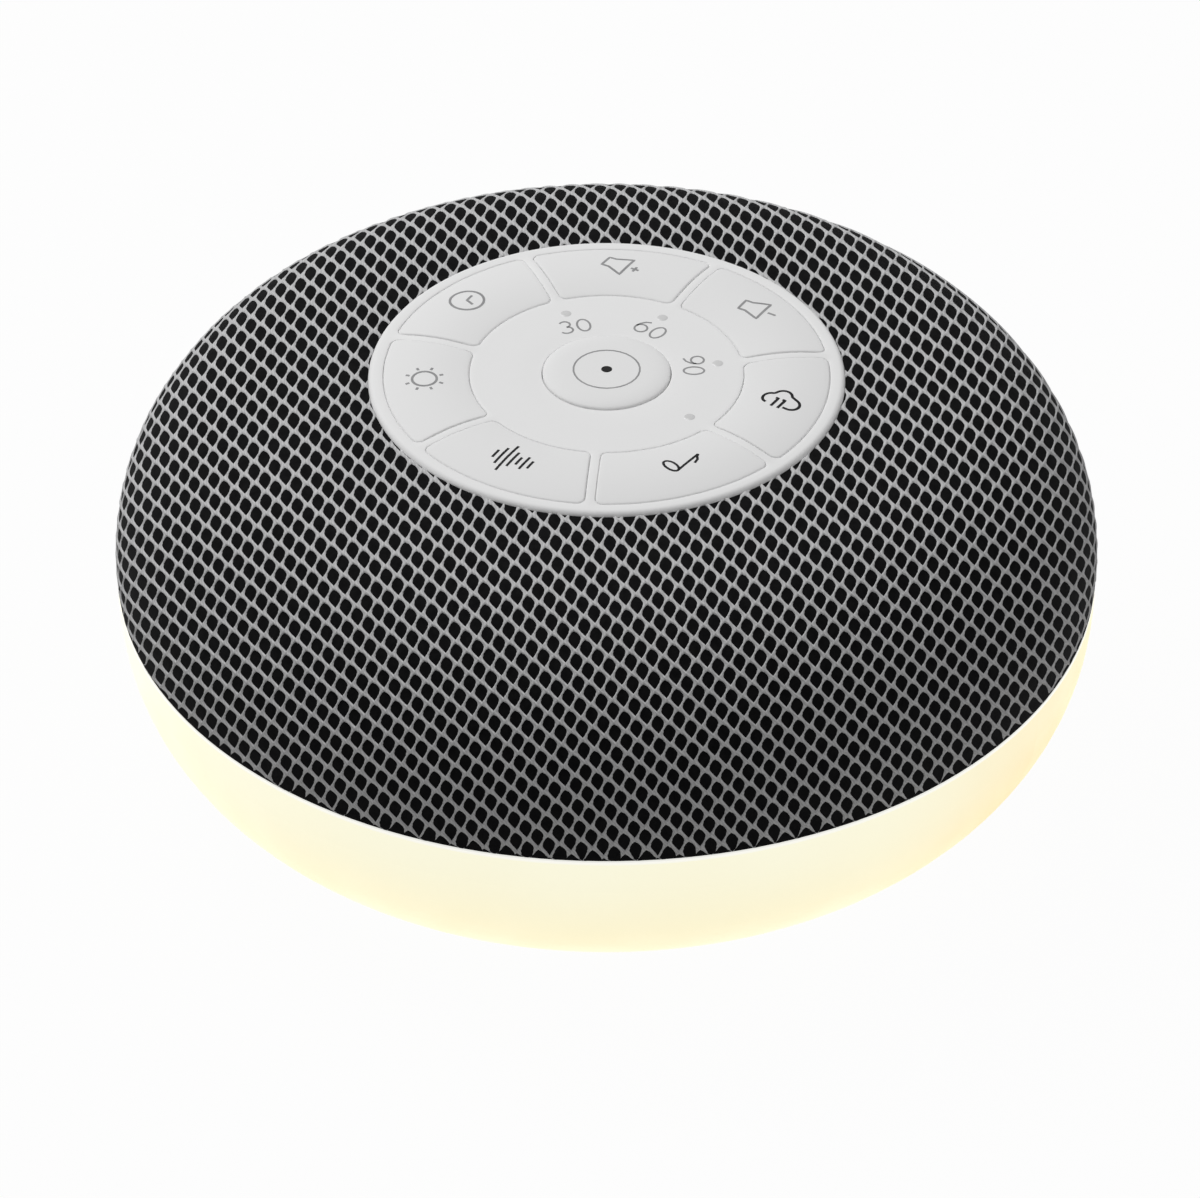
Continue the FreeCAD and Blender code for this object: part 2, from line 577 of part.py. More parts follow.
def diffuser_bowl():
    """Translucent lamp bowl with a rebate for the base plate and a bay for the power plug."""
    lip_low = BOWL_BOTTOM_Z + PLATE_WALL
    lip_top = lip_low + BOWL_WALL
    upper, lower, big, small = bowl_arcs(0)
    seat = BASE_RADIUS + SEAT_GAP
    outline = Outline(seat - LIP_WIDTH, lip_low).line(seat, lip_low).line(seat, BOWL_BOTTOM_Z)
    outline.line(lower[0], BOWL_BOTTOM_Z)
    outline.arc(bowl_point(lower, small, 48), bowl_point(lower, small, BOWL_TOP_TURN))
    outline.arc(bowl_point(upper, big, BOWL_TOP_TURN / 2), (upper[0] + big, BOWL_TOP))
    outline.line(upper[0] + big - BOWL_WALL, BOWL_TOP)
    upper, lower, big, small = bowl_arcs(BOWL_WALL)
    outline.arc(bowl_point(upper, big, BOWL_TOP_TURN / 2), bowl_point(upper, big, BOWL_TOP_TURN))
    reach = math.degrees(math.asin((lower[1] - lip_top) / small))
    outline.arc(bowl_point(lower, small, (reach + BOWL_TOP_TURN) / 2), bowl_point(lower, small, reach))
    outline.line(seat - LIP_WIDTH, lip_top)
    bowl = outline.turned()
    wide, tall = PLUG_BAY
    bay_y = SOCKET_MOUTH
    outer_y = bowl_radius_at(0, SOCKET_AXIS + tall) + BAY_WALL
    block = box(0, (bay_y - BAY_WALL + outer_y) / 2, SOCKET_AXIS - tall / 2 - BAY_WALL,
                wide + 2 * BAY_WALL, outer_y - bay_y + BAY_WALL, tall + 2 * BAY_WALL)
    full = Outline(0, BOWL_BOTTOM_Z).line(bowl_arcs(0)[1][0], BOWL_BOTTOM_Z)
    upper, lower, big, small = bowl_arcs(0)
    full.arc(bowl_point(lower, small, 48), bowl_point(lower, small, BOWL_TOP_TURN)).line(0, full.at[1])
    block = block.common(full.turned())
    bay = box(0, (bay_y + outer_y) / 2, SOCKET_AXIS - tall / 2, wide, outer_y - bay_y, tall)
    bay = bay.makeFillet(BAY_CORNER, [e for e in bay.Edges if abs(e.tangentAt(e.FirstParameter).y) > 0.99])
    mouth = box(0, bay_y - BAY_WALL / 2, SOCKET_AXIS - SOCKET[2] / 2 - SEAT_GAP,
                SOCKET[0] + 2 * SEAT_GAP, BAY_WALL, SOCKET[2] + 2 * SEAT_GAP)
    return fused(bowl, block).cut(group([bay, mouth]))


BOWL_BOTTOM_Z = bowl_arcs(0)[1][1] - BOWL_RADIUS
SOCKET_AXIS = MAIN_HEIGHT + BOARD_WALL + SOCKET[2] / 2


# Base

def base_plate():
    """Bottom cover: foot groove, spigot inside the bowl's lip, screw bosses, tray and board posts."""
    low = BOWL_BOTTOM_Z
    top = low + PLATE_WALL
    spigot = BASE_RADIUS - LIP_WIDTH
    parts = [ring(0, BASE_RADIUS, low, top)]
    parts.append(ring(spigot - SPIGOT_WALL, spigot - SEAT_GAP, top, top + BASE_SPIGOT))
    for point in base_screw_points(top):
        parts.append(pin(BASE_POST_RADIUS, point, POST_JOINT - top))
    for point in main_board_posts(top):
        parts.append(pin(SCREW_BOSS, point, MAIN_HEIGHT - top))
    wide, deep, _ = BATTERY
    wide += 2 * SEAT_GAP
    deep += 2 * SEAT_GAP
    outer = box(0, BATTERY_CENTRE_Y, top, wide + 2 * TRAY_WALL, deep + 2 * TRAY_WALL, TRAY_HEIGHT)
    inner = box(0, BATTERY_CENTRE_Y, top, wide, deep, TRAY_HEIGHT)
    bosses = [pin(BASE_POST_RADIUS + SEAT_GAP, point, TRAY_HEIGHT) for point in base_screw_points(top)]
    tray = outer.cut(inner).cut(group(bosses)).common(ring(0, spigot - SEAT_GAP, top, top + TRAY_HEIGHT))
    body = fused(parts[0], *(parts[1:] + [tray]))
    cuts = [ring(FOOT_RING[0] - SEAT_GAP, FOOT_RING[1] + SEAT_GAP, low, low + FOOT_SEAT)]
    for point in base_screw_points(low):
        cuts.append(pin(CASE_SCREW_RADIUS + SCREW_FIT, point, POST_JOINT))
        cuts.append(pin(CASE_HEAD_RADIUS + SEAT_GAP, point, CASE_HEAD + HEAD_SINK))
    for point in main_board_posts(top):
        cuts.append(pin(SCREW_RADIUS + SCREW_FIT, point, MAIN_HEIGHT))
    return body.cut(group(cuts))


def base_screw_points(z):
    step = 360.0 / BASE_SCREW_COUNT
    return [polar(BASE_SCREW_CIRCLE, BASE_SCREW_START + step * i, z) for i in range(BASE_SCREW_COUNT)]


def main_board_posts(z):
    x = MAIN_WIDTH / 2 - POST_INSET
    y = MAIN_START + POST_INSET
    return [FreeCAD.Vector(*spot, z) for spot in ((-x, y), (x, y), (-x, y + POST_SPAN))]


def foot_ring():
    inner, outer = FOOT_RING
    top = BOWL_BOTTOM_Z + FOOT_SEAT
    outline = Outline(inner, top).line(inner, FOOT_EDGE).line(inner + FOOT_EDGE, 0)
    return outline.line(outer - FOOT_EDGE, 0).line(outer, FOOT_EDGE).line(outer, top).turned()


def base_screws():
    length = CHASSIS_LOW - POST_JOINT - SCREW_RESERVE
    feet = base_screw_points(BOWL_BOTTOM_Z + CASE_HEAD + HEAD_SINK)
    return group([screw(foot, CASE_SCREW_RADIUS, length, CASE_HEAD_RADIUS, CASE_HEAD) for foot in feet])


# Chassis and speaker

def chassis():
    """Mid frame: plate inside the shell's spigot, speaker tower and the base's posts."""
    outer = SPIGOT_INNER - SEAT_GAP
    tower_top = CHASSIS_TOP + TOWER_HEIGHT
    outline = Outline(TOWER_FOOT - TOWER_WALL, CHASSIS_LOW).line(outer, CHASSIS_LOW).line(outer, CHASSIS_TOP)
    outline.line(TOWER_FOOT, CHASSIS_TOP).line(TOWER_TOP, tower_top)
    inner_top = SPEAKER_BOLT_CIRCLE - SCREW_BOSS
    outline.line(inner_top, tower_top).line(inner_top, tower_top - PLATE_WALL)
    outline.line(TOWER_TOP - TOWER_WALL, tower_top - PLATE_WALL)
    body = outline.turned()
    post = CHASSIS_LOW - POST_JOINT
    posts = [pin(BASE_POST_RADIUS, point, post) for point in base_screw_points(POST_JOINT)]
    arms = []
    for i in range(BASE_SCREW_COUNT):
        angle = BASE_SCREW_START + 360.0 / BASE_SCREW_COUNT * i
        span = TOWER_FOOT - BASE_SCREW_CIRCLE
        arm = box(BASE_SCREW_CIRCLE + span / 2, 0, CHASSIS_LOW, span, 2 * BASE_POST_RADIUS, PLATE_WALL)
        tip = pin(BASE_POST_RADIUS, FreeCAD.Vector(BASE_SCREW_CIRCLE, 0, CHASSIS_LOW), PLATE_WALL)
        arms += [turned_about(arm, angle), turned_about(tip, angle)]
    body = fused(body, *(posts + arms))
    cuts = [pin(CASE_SCREW_RADIUS + SCREW_FIT, point, PLATE_WALL) for point in case_screw_points(CHASSIS_LOW)]
    for point in base_screw_points(POST_JOINT):
        cuts.append(pin(CASE_SCREW_RADIUS + SCREW_FIT, point, CHASSIS_LOW - POST_JOINT))
    for point in speaker_bolts(tower_top - PLATE_WALL):
        cuts.append(pin(SCREW_RADIUS + SCREW_FIT, point, PLATE_WALL))
    cuts.append(pin(CABLE_HOLE_RADIUS, polar(CABLE_DROP, CABLE_ANGLE, CHASSIS_LOW), PLATE_WALL))
    return body.cut(group(cuts))


def speaker_bolts(z):
    return [polar(SPEAKER_BOLT_CIRCLE, 45 + 90 * i, z) for i in range(4)]


SPEAKER_SEAT = CHASSIS_TOP + TOWER_HEIGHT + GASKET_WALL
FLANGE_FACE = SPEAKER_SEAT + SPEAKER_FLANGE
MAGNET_TOP = SPEAKER_SEAT - BASKET_DEPTH


def speaker_gasket():
    inner = SPEAKER_BOLT_CIRCLE - SCREW_BOSS
    body = ring(inner, SPEAKER_RADIUS, SPEAKER_SEAT - GASKET_WALL, SPEAKER_SEAT)
    return body.cut(group([pin(SCREW_RADIUS + SCREW_FIT, p, GASKET_WALL)
                           for p in speaker_bolts(SPEAKER_SEAT - GASKET_WALL)]))


def speaker_basket():
    """Pressed steel frame: flange, four arms and the plate that holds the magnet."""
    rim = SPEAKER_BOLT_CIRCLE - SCREW_BOSS - SEAT_GAP
    wall = BASKET_WALL
    hub = MAGNET_RADIUS
    outline = Outline(rim - wall, SPEAKER_SEAT).line(SPEAKER_RADIUS, SPEAKER_SEAT)
    outline.line(SPEAKER_RADIUS, FLANGE_FACE).line(rim - wall, FLANGE_FACE)
    flange = outline.turned()
    low = MAGNET_TOP
    cone = Outline(hub, low).line(rim, SPEAKER_SEAT).line(rim - wall, SPEAKER_SEAT + wall / 2)
    cone.line(hub - wall, low + wall).line(COIL_RADIUS + 1, low + wall).line(COIL_RADIUS + 1, low)
    windows = []
    for i in range(BASKET_ARMS):
        window = box(rim, 0, low + 2 * wall, 2 * (rim - COIL_RADIUS), hub, BASKET_DEPTH - 4 * wall)
        windows.append(turned_about(window, 360.0 / BASKET_ARMS * i))
    body = fused(flange, cone.turned().cut(group(windows)))
    holes = [pin(SCREW_RADIUS + SCREW_FIT, point, SPEAKER_FLANGE) for point in speaker_bolts(SPEAKER_SEAT)]
    return body.cut(group(holes))


def speaker_magnet():
    """Ring magnet between its plate and yoke."""
    magnet = ring(0, MAGNET_RADIUS, MAGNET_TOP - MAGNET_WALL, MAGNET_TOP)
    yoke = ring(0, MAGNET_RADIUS - YOKE_STEP, MAGNET_TOP - MAGNET_WALL - YOKE_WALL, MAGNET_TOP - MAGNET_WALL)
    pole = ring(0, COIL_RADIUS - BASKET_WALL, MAGNET_TOP, MAGNET_TOP + YOKE_WALL)
    return fused(magnet, yoke, pole)


def speaker_cone():
    """Paper cone with its voice coil former."""
    top = FLANGE_FACE
    low = top - CONE_DEPTH
    coil_low = MAGNET_TOP + COIL_DIP
    edge = top + CONE_WALL / 2
    outline = Outline(CONE_RADIUS, top).line(COIL_RADIUS + CONE_WALL, low)
    outline.line(COIL_RADIUS + CONE_WALL, coil_low).line(COIL_RADIUS, coil_low)
    outline.line(COIL_RADIUS, low + CONE_WALL).line(CONE_RADIUS - CONE_WALL, edge).line(CONE_RADIUS, edge)
    return outline.turned()


def speaker_surround():
    """Half-roll rubber edge between the cone and the flange."""
    inner = CONE_RADIUS + SEAT_GAP
    outer = inner + SURROUND_WIDTH
    lift = SURROUND_WIDTH / 2 - SURROUND_WALL
    mid = (inner + outer) / 2
    base = FLANGE_FACE + SEAT_GAP
    outline = Outline(inner, base).arc((mid, base + lift + SURROUND_WALL), (outer, base))
    outline.line(outer - SURROUND_WALL, base).line(mid, base + lift).line(inner + SURROUND_WALL, base)
    return outline.turned()


def dust_cap():
    base = FLANGE_FACE - CONE_DEPTH + 2 * CONE_WALL
    rise = CAP_RISE
    radius = COIL_RADIUS - SEAT_GAP
    curve = (radius ** 2 + rise ** 2) / (2 * rise)
    half = radius / 2
    mid = base + rise - curve + math.sqrt(curve ** 2 - half ** 2)
    outline = Outline(0, base).line(radius, base).arc((half, mid), (0, base + rise))
    return outline.turned()


def speaker_screws():
    """Short pan screws driven down through the flange."""
    length = SPEAKER_FLANGE + GASKET_WALL + PLATE_WALL
    group_of = []
    for point in speaker_bolts(FLANGE_FACE):
        body = screw(ZERO, SCREW_RADIUS, length, SCREW_HEAD_RADIUS, SCREW_HEAD)
        body.rotate(ZERO, FreeCAD.Vector(1, 0, 0), 180)
        body.translate(point)
        group_of.append(body)
    return group(group_of)


def chassis_screws():
    feet = case_screw_points(CHASSIS_LOW)
    length = PLATE_WALL + CASE_GRIP
    return group([screw(foot, CASE_SCREW_RADIUS, length, CASE_HEAD_RADIUS, CASE_HEAD) for foot in feet])


# Lamp

LAMP_TOP = CHASSIS_LOW - LAMP_BOARD_DROP


def lamp_board():
    """Ring board on four stand-offs under the chassis."""
    inner, outer = LAMP_BOARD
    body = ring(inner, outer, LAMP_TOP - LAMP_BOARD_WALL, LAMP_TOP)
    mid = (inner + outer) / 2
    spacers = [pin(SPACER_RADIUS, polar(mid, 90 * i, LAMP_TOP), LAMP_BOARD_DROP) for i in range(4)]
    return fused(body, *spacers)


def lamp_leds():
    mid = sum(LAMP_BOARD) / 2
    low = LAMP_TOP - LAMP_BOARD_WALL - LAMP_DEPTH
    lamps = []
    for i in range(LAMP_COUNT):
        lamps.append(turned_about(box(mid, 0, low, LAMP_SIDE, LAMP_SIDE, LAMP_DEPTH), 360.0 / LAMP_COUNT * i))
    return group(lamps)


def reflector():
    """White cone that hides the electronics from the glowing bowl."""
    low = BOWL_BOTTOM_Z + PLATE_WALL + BOWL_WALL + SEAT_GAP
    high = LAMP_TOP - LAMP_BOARD_WALL - SEAT_GAP
    inner, outer = REFLECTOR
    lip = LAMP_BOARD[0] + REFLECTOR_LIP
    shelf = high - REFLECTOR_WALL
    outline = Outline(inner, low).line(inner + REFLECTOR_WALL, low).line(outer + REFLECTOR_WALL, shelf)
    outline.line(lip, shelf).line(lip, high).line(outer, high)
    body = outline.turned()
    tall = BOARD_WALL + SOCKET[2] + REFLECTOR_LIP
    wide = MAIN_WIDTH + REFLECTOR_LIP
    gate = box(0, (inner + outer) / 2, MAIN_HEIGHT - REFLECTOR_WALL, wide, GATE_DEPTH, tall)
    return body.cut(gate)


# Electronics in the base

def main_board():
    deep = SOCKET_MOUTH - BAY_WALL - SEAT_GAP - MAIN_START
    body = box(0, MAIN_START + deep / 2, MAIN_HEIGHT, MAIN_WIDTH, deep, BOARD_WALL)
    body = body.makeFillet(MAIN_CORNER, upright_edges(body))
    holes = [pin(SCREW_RADIUS + SCREW_FIT, point, BOARD_WALL) for point in main_board_posts(MAIN_HEIGHT)]
    return body.cut(group(holes))


def main_board_screws():
    top = MAIN_HEIGHT + BOARD_WALL
    screws = []
    for point in main_board_posts(top):
        body = screw(ZERO, SCREW_RADIUS, MAIN_SCREW, SCREW_HEAD_RADIUS, SCREW_HEAD)
        body.rotate(ZERO, FreeCAD.Vector(1, 0, 0), 180)
        body.translate(point)
        screws.append(body)
    return group(screws)


def board_chips():
    top = MAIN_HEIGHT + BOARD_WALL
    return group([box(x, y, top, wide, deep, tall) for x, y, wide, deep, tall in CHIPS])


def capacitors():
    top = MAIN_HEIGHT + BOARD_WALL
    radius, tall = CAN
    return group([pin(radius, FreeCAD.Vector(x, y, top), tall) for x, y in CAN_SPOTS])


def usb_socket():
    """Oval metal shell with its tongue."""
    wide, deep, tall = SOCKET
    y = SOCKET_MOUTH - deep / 2
    low = SOCKET_AXIS - tall / 2
    body = box(0, y, low, wide, deep, tall)
    lengthwise = [e for e in body.Edges if abs(e.tangentAt(e.FirstParameter).y) > 0.99]
    body = body.makeFillet(tall / 2 - SCREW_FIT, lengthwise)
    hollow = box(0, y + 1, low + SOCKET_WALL, wide - 2 * SOCKET_WALL, deep, tall - 2 * SOCKET_WALL)
    lengthwise = [e for e in hollow.Edges if abs(e.tangentAt(e.FirstParameter).y) > 0.99]
    hollow = hollow.makeFillet(tall / 2 - SOCKET_WALL - SCREW_FIT, lengthwise)
    tongue = box(0, y, SOCKET_AXIS - TONGUE[2] / 2, *TONGUE)
    return fused(body.cut(hollow), tongue)


def battery_cell():
    wide, deep, tall = BATTERY
    body = box(0, BATTERY_CENTRE_Y, BOWL_BOTTOM_Z + PLATE_WALL, wide, deep, tall)
    lengthwise = [e for e in body.Edges if abs(e.tangentAt(e.FirstParameter).x) > 0.99]
    return body.makeFillet(BATTERY_CORNER, lengthwise)


def swept(points, bend, section):
    """A section carried along straight runs joined by arcs."""
    path = []
    at = points[0]
    for corner, after in zip(points[1:], points[2:]):
        into = (corner - at).normalize()
        out = (after - corner).normalize()
        turn = into.getAngle(out)
        cut = bend * math.tan(turn / 2)
        first = corner - into * cut
        last = corner + out * cut
        inward = (out - into).normalize()
        middle = corner + inward * (bend / math.cos(turn / 2) - bend)
        path.append(Part.LineSegment(at, first).toShape())
        path.append(Part.Arc(first, middle, last).toShape())
        at = last
    path.append(Part.LineSegment(at, points[-1]).toShape())
    return Part.Wire(path).makePipeShell([section], True, False)


def flat_cable(points, wide, thick):
    """A flat cable or twin lead that starts straight up or down, wide across X."""
    corners = [FreeCAD.Vector(x * wide / 2, y * thick / 2, 0) + points[0]
               for x, y in ((-1, -1), (1, -1), (1, 1), (-1, 1), (-1, -1))]
    return swept(points, LEAD_BEND, Part.makePolygon(corners))


def ribbon_cable():
    """Flat cable from the control board out over the tower and down to the main board."""
    under_floor = WELL_FLOOR - WELL_FLOOR_WALL - CABLE_CLEAR
    low = MAIN_HEIGHT + BOARD_WALL + SEAT_GAP
    stops = ((CABLE_START, BOARD_LOW - SEAT_GAP), (CABLE_START, under_floor), (CABLE_DROP, under_floor),
             (CABLE_DROP, low))
    points = [polar(radius, CABLE_ANGLE, height) for radius, height in stops]
    return flat_cable(points, RIBBON_WIDTH, RIBBON_WALL)


def speaker_lead():
    """Twin lead from the basket's side down to the main board's front edge."""
    low = MAIN_HEIGHT + BOARD_WALL + SEAT_GAP
    out = MAGNET_RADIUS + LEAD_WIDTH
    end = MAIN_START + LEAD_INSET
    over = low + 2 * LEAD_BEND + 1
    points = [FreeCAD.Vector(0, -out, MAGNET_TOP), FreeCAD.Vector(0, -out, over),
              FreeCAD.Vector(0, end, over), FreeCAD.Vector(0, end, low)]
    return flat_cable(points, LEAD_WIDTH, LEAD_WALL)


def lamp_lead():
    """Twin lead straight down from the ring board to the main board."""
    low = MAIN_HEIGHT + BOARD_WALL + SEAT_GAP
    high = LAMP_TOP - LAMP_BOARD_WALL - SEAT_GAP
    return box(2 * LAMP_SIDE, LAMP_BOARD[0] + LEAD_INSET, low, LEAD_WIDTH, LEAD_WALL, high - low)


def battery_lead():
    """Twin lead from the cell up and over to the main board."""
    edge = BATTERY_CENTRE_Y + BATTERY[1] / 2 - LEAD_INSET
    start = BOWL_BOTTOM_Z + PLATE_WALL + BATTERY[2] + SEAT_GAP
    low = MAIN_HEIGHT + BOARD_WALL + SEAT_GAP
    over = low + 2 * LEAD_BEND + 1
    end = MAIN_START + BATTERY_LEAD_INSET
    points = [FreeCAD.Vector(BATTERY_LEAD_SIDE, y, z)
              for y, z in ((edge, start), (edge, over), (end, over), (end, low))]
    return flat_cable(points, LEAD_WIDTH, LEAD_WALL)


NODES = {
    "fabric_cover": fabric_cover,
    "grille_shell": grille_shell,
    "diffuser_bowl": diffuser_bowl,
    "base_plate": base_plate,
    "foot_ring": foot_ring,
    "base_screws": base_screws,
    "control_panel": control_panel,
    "power_key": power_key,
    "key_mat": key_mat,
    "control_board": control_board,
    "tact_switches": tact_switches,
    "indicator_leds": indicator_leds,
    "indicator_lenses": indicator_lenses,
    "board_screws": board_screws,
    "chassis": chassis,
    "chassis_screws": chassis_screws,
    "speaker_gasket": speaker_gasket,
    "speaker_basket": speaker_basket,
    "speaker_magnet": speaker_magnet,
    "speaker_cone": speaker_cone,
    "speaker_surround": speaker_surround,
    "dust_cap": dust_cap,
    "speaker_screws": speaker_screws,
    "lamp_board": lamp_board,
    "lamp_leds": lamp_leds,
    "reflector": reflector,
    "main_board": main_board,
    "main_board_screws": main_board_screws,
    "board_chips": board_chips,
    "capacitors": capacitors,
    "usb_socket": usb_socket,
    "battery_cell": battery_cell,
    "ribbon_cable": ribbon_cable,
    "speaker_lead": speaker_lead,
    "lamp_lead": lamp_lead,
    "battery_lead": battery_lead,
}


def build():
    os.makedirs("parts", exist_ok=True)
    shapes = {name: make() for name, make in NODES.items()}
    for index, name in enumerate(KEY_NAMES):
        shapes[name] = sector_key(index)
    for name, shape in shapes.items():
        shape.exportStep(os.path.join("parts", name + ".step"))
        state = "valid" if shape.isValid() else "not valid"
        print(name, len(shape.Solids), "solids", round(shape.Volume, 1), "mm3", state)


build()
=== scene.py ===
"""Looks of the white noise sound machine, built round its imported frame.

Sizes are written in millimetres, as in the part's source, and MM turns them into metres.
AZIMUTH and ELEVATION are the photograph's viewing angle. The fabric's net is laid so that
it looks even from there, along directions that are fixed on the object.
"""

from __future__ import annotations

import json
import logging
import math
from dataclasses import dataclass, field
from enum import Enum
from typing import Any, Iterable, Sequence
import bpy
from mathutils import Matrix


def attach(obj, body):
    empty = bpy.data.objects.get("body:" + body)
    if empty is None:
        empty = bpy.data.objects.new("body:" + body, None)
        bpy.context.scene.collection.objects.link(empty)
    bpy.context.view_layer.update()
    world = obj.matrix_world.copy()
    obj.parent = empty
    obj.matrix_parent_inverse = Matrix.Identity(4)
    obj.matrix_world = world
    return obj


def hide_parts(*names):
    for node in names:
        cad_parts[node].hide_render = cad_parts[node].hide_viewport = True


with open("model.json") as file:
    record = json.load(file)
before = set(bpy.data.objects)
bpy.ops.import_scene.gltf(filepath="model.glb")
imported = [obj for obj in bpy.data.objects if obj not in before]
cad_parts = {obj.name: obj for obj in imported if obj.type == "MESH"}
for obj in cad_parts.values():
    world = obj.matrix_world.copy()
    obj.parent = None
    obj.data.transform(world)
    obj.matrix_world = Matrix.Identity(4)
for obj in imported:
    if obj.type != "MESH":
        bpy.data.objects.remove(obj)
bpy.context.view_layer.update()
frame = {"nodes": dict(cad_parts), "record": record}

import bmesh
import bpy
from mathutils import Vector

MM = 0.001
HOUSING = "housing"
AZIMUTH = math.radians(30.0)
ELEVATION = math.radians(35.65)
# Lengths and angles smaller than this count as nought
TINY = 1e-6
WHITE = (1.0, 1.0, 1.0)

Colour = tuple[float, float, float]
Flat = tuple[float, float]
Point = tuple[float, float, float]

log = logging.getLogger("sound_machine")


# Directions and helpers

def sight(azimuth: float) -> tuple[Vector, Vector, Vector]:
    """A view's right, up and backward directions at the photograph's elevation.

    Args:
        azimuth: where the camera stands, in radians round from the front.

    Returns:
        The three directions.
    """
    level = math.cos(ELEVATION)
    back = Vector((math.sin(azimuth) * level, -math.cos(azimuth) * level, math.sin(ELEVATION)))
    right = Vector((math.cos(azimuth), math.sin(azimuth), 0.0))
    return right, back.cross(right), back


def linked(name: str, data: bpy.types.ID) -> bpy.types.Object:
    """An object in the scene that holds some data."""
    made = bpy.data.objects.new(name, data)
    bpy.context.scene.collection.objects.link(made)
    return made


def polar(radius: float, angle: float, height: float = 0.0) -> Point:
    """Point at a radius, an angle in radians and a height."""
    return (radius * math.cos(angle), radius * math.sin(angle), height)


def quarter(steps: int) -> list[Flat]:
    """Places up a rounded edge, as shares of its size inwards from its side and below its top."""
    turns = [math.pi / 2 * k / steps for k in range(steps + 1)]
    return [(1 - math.cos(turn), 1 - math.sin(turn)) for turn in turns]


# Node trees

class Value:
    """A socket of a node tree, used in plain arithmetic: each operator adds a Math node."""

    def __init__(self, sheet: "Nodes", socket: bpy.types.NodeSocket) -> None:
        """Keeps the tree and the output socket."""
        self.sheet = sheet
        self.socket = socket

    def math(self, operation: str, *values: Any) -> "Value":
        """Adds one Math node.

        Args:
            operation: name of the Math node's operation.
            values: its inputs in order, numbers or other values.

        Returns:
            The node's result.
        """
        inputs = dict(enumerate(values))
        return self.sheet.add("ShaderNodeMath", {"operation": operation}, inputs)

    def __add__(self, other: Any) -> "Value":
        """Sum."""
        return self.math("ADD", self, other)

    def __radd__(self, other: Any) -> "Value":
        """Sum, number first."""
        return self.math("ADD", other, self)

    def __sub__(self, other: Any) -> "Value":
        """Difference."""
        return self.math("SUBTRACT", self, other)

    def __rsub__(self, other: Any) -> "Value":
        """Difference, number first."""
        return self.math("SUBTRACT", other, self)

    def __mul__(self, other: Any) -> "Value":
        """Product."""
        return self.math("MULTIPLY", self, other)

    def __rmul__(self, other: Any) -> "Value":
        """Product, number first."""
        return self.math("MULTIPLY", other, self)

    def __truediv__(self, other: Any) -> "Value":
        """Quotient."""
        return self.math("DIVIDE", self, other)

    def __rtruediv__(self, other: Any) -> "Value":
        """Quotient, number first."""
        return self.math("DIVIDE", other, self)

    def above(self, limit: Any) -> "Value":
        """One where the value is above the limit, else zero."""
        return self.math("GREATER_THAN", self, limit)

    def between(self, low: float, high: float) -> "Value":
        """The value held between two numbers."""
        return self.math("MINIMUM", self.math("MAXIMUM", self, low), high)

    def sine(self) -> "Value":
        """Sine of the value in radians."""
        return self.math("SINE", self)

    def root(self) -> "Value":
        """Square root."""
        return self.math("SQRT", self)

    def ramp(self, low: float, high: float, start: float = 0.0, end: float = 1.0) -> "Value":
        """The value from low to high turned smoothly into start to end."""
        return self.sheet.add(
            "ShaderNodeMapRange",
            {"interpolation_type": "SMOOTHSTEP"},
            {"Value": self, "From Min": low, "From Max": high, "To Min": start, "To Max": end},
        )


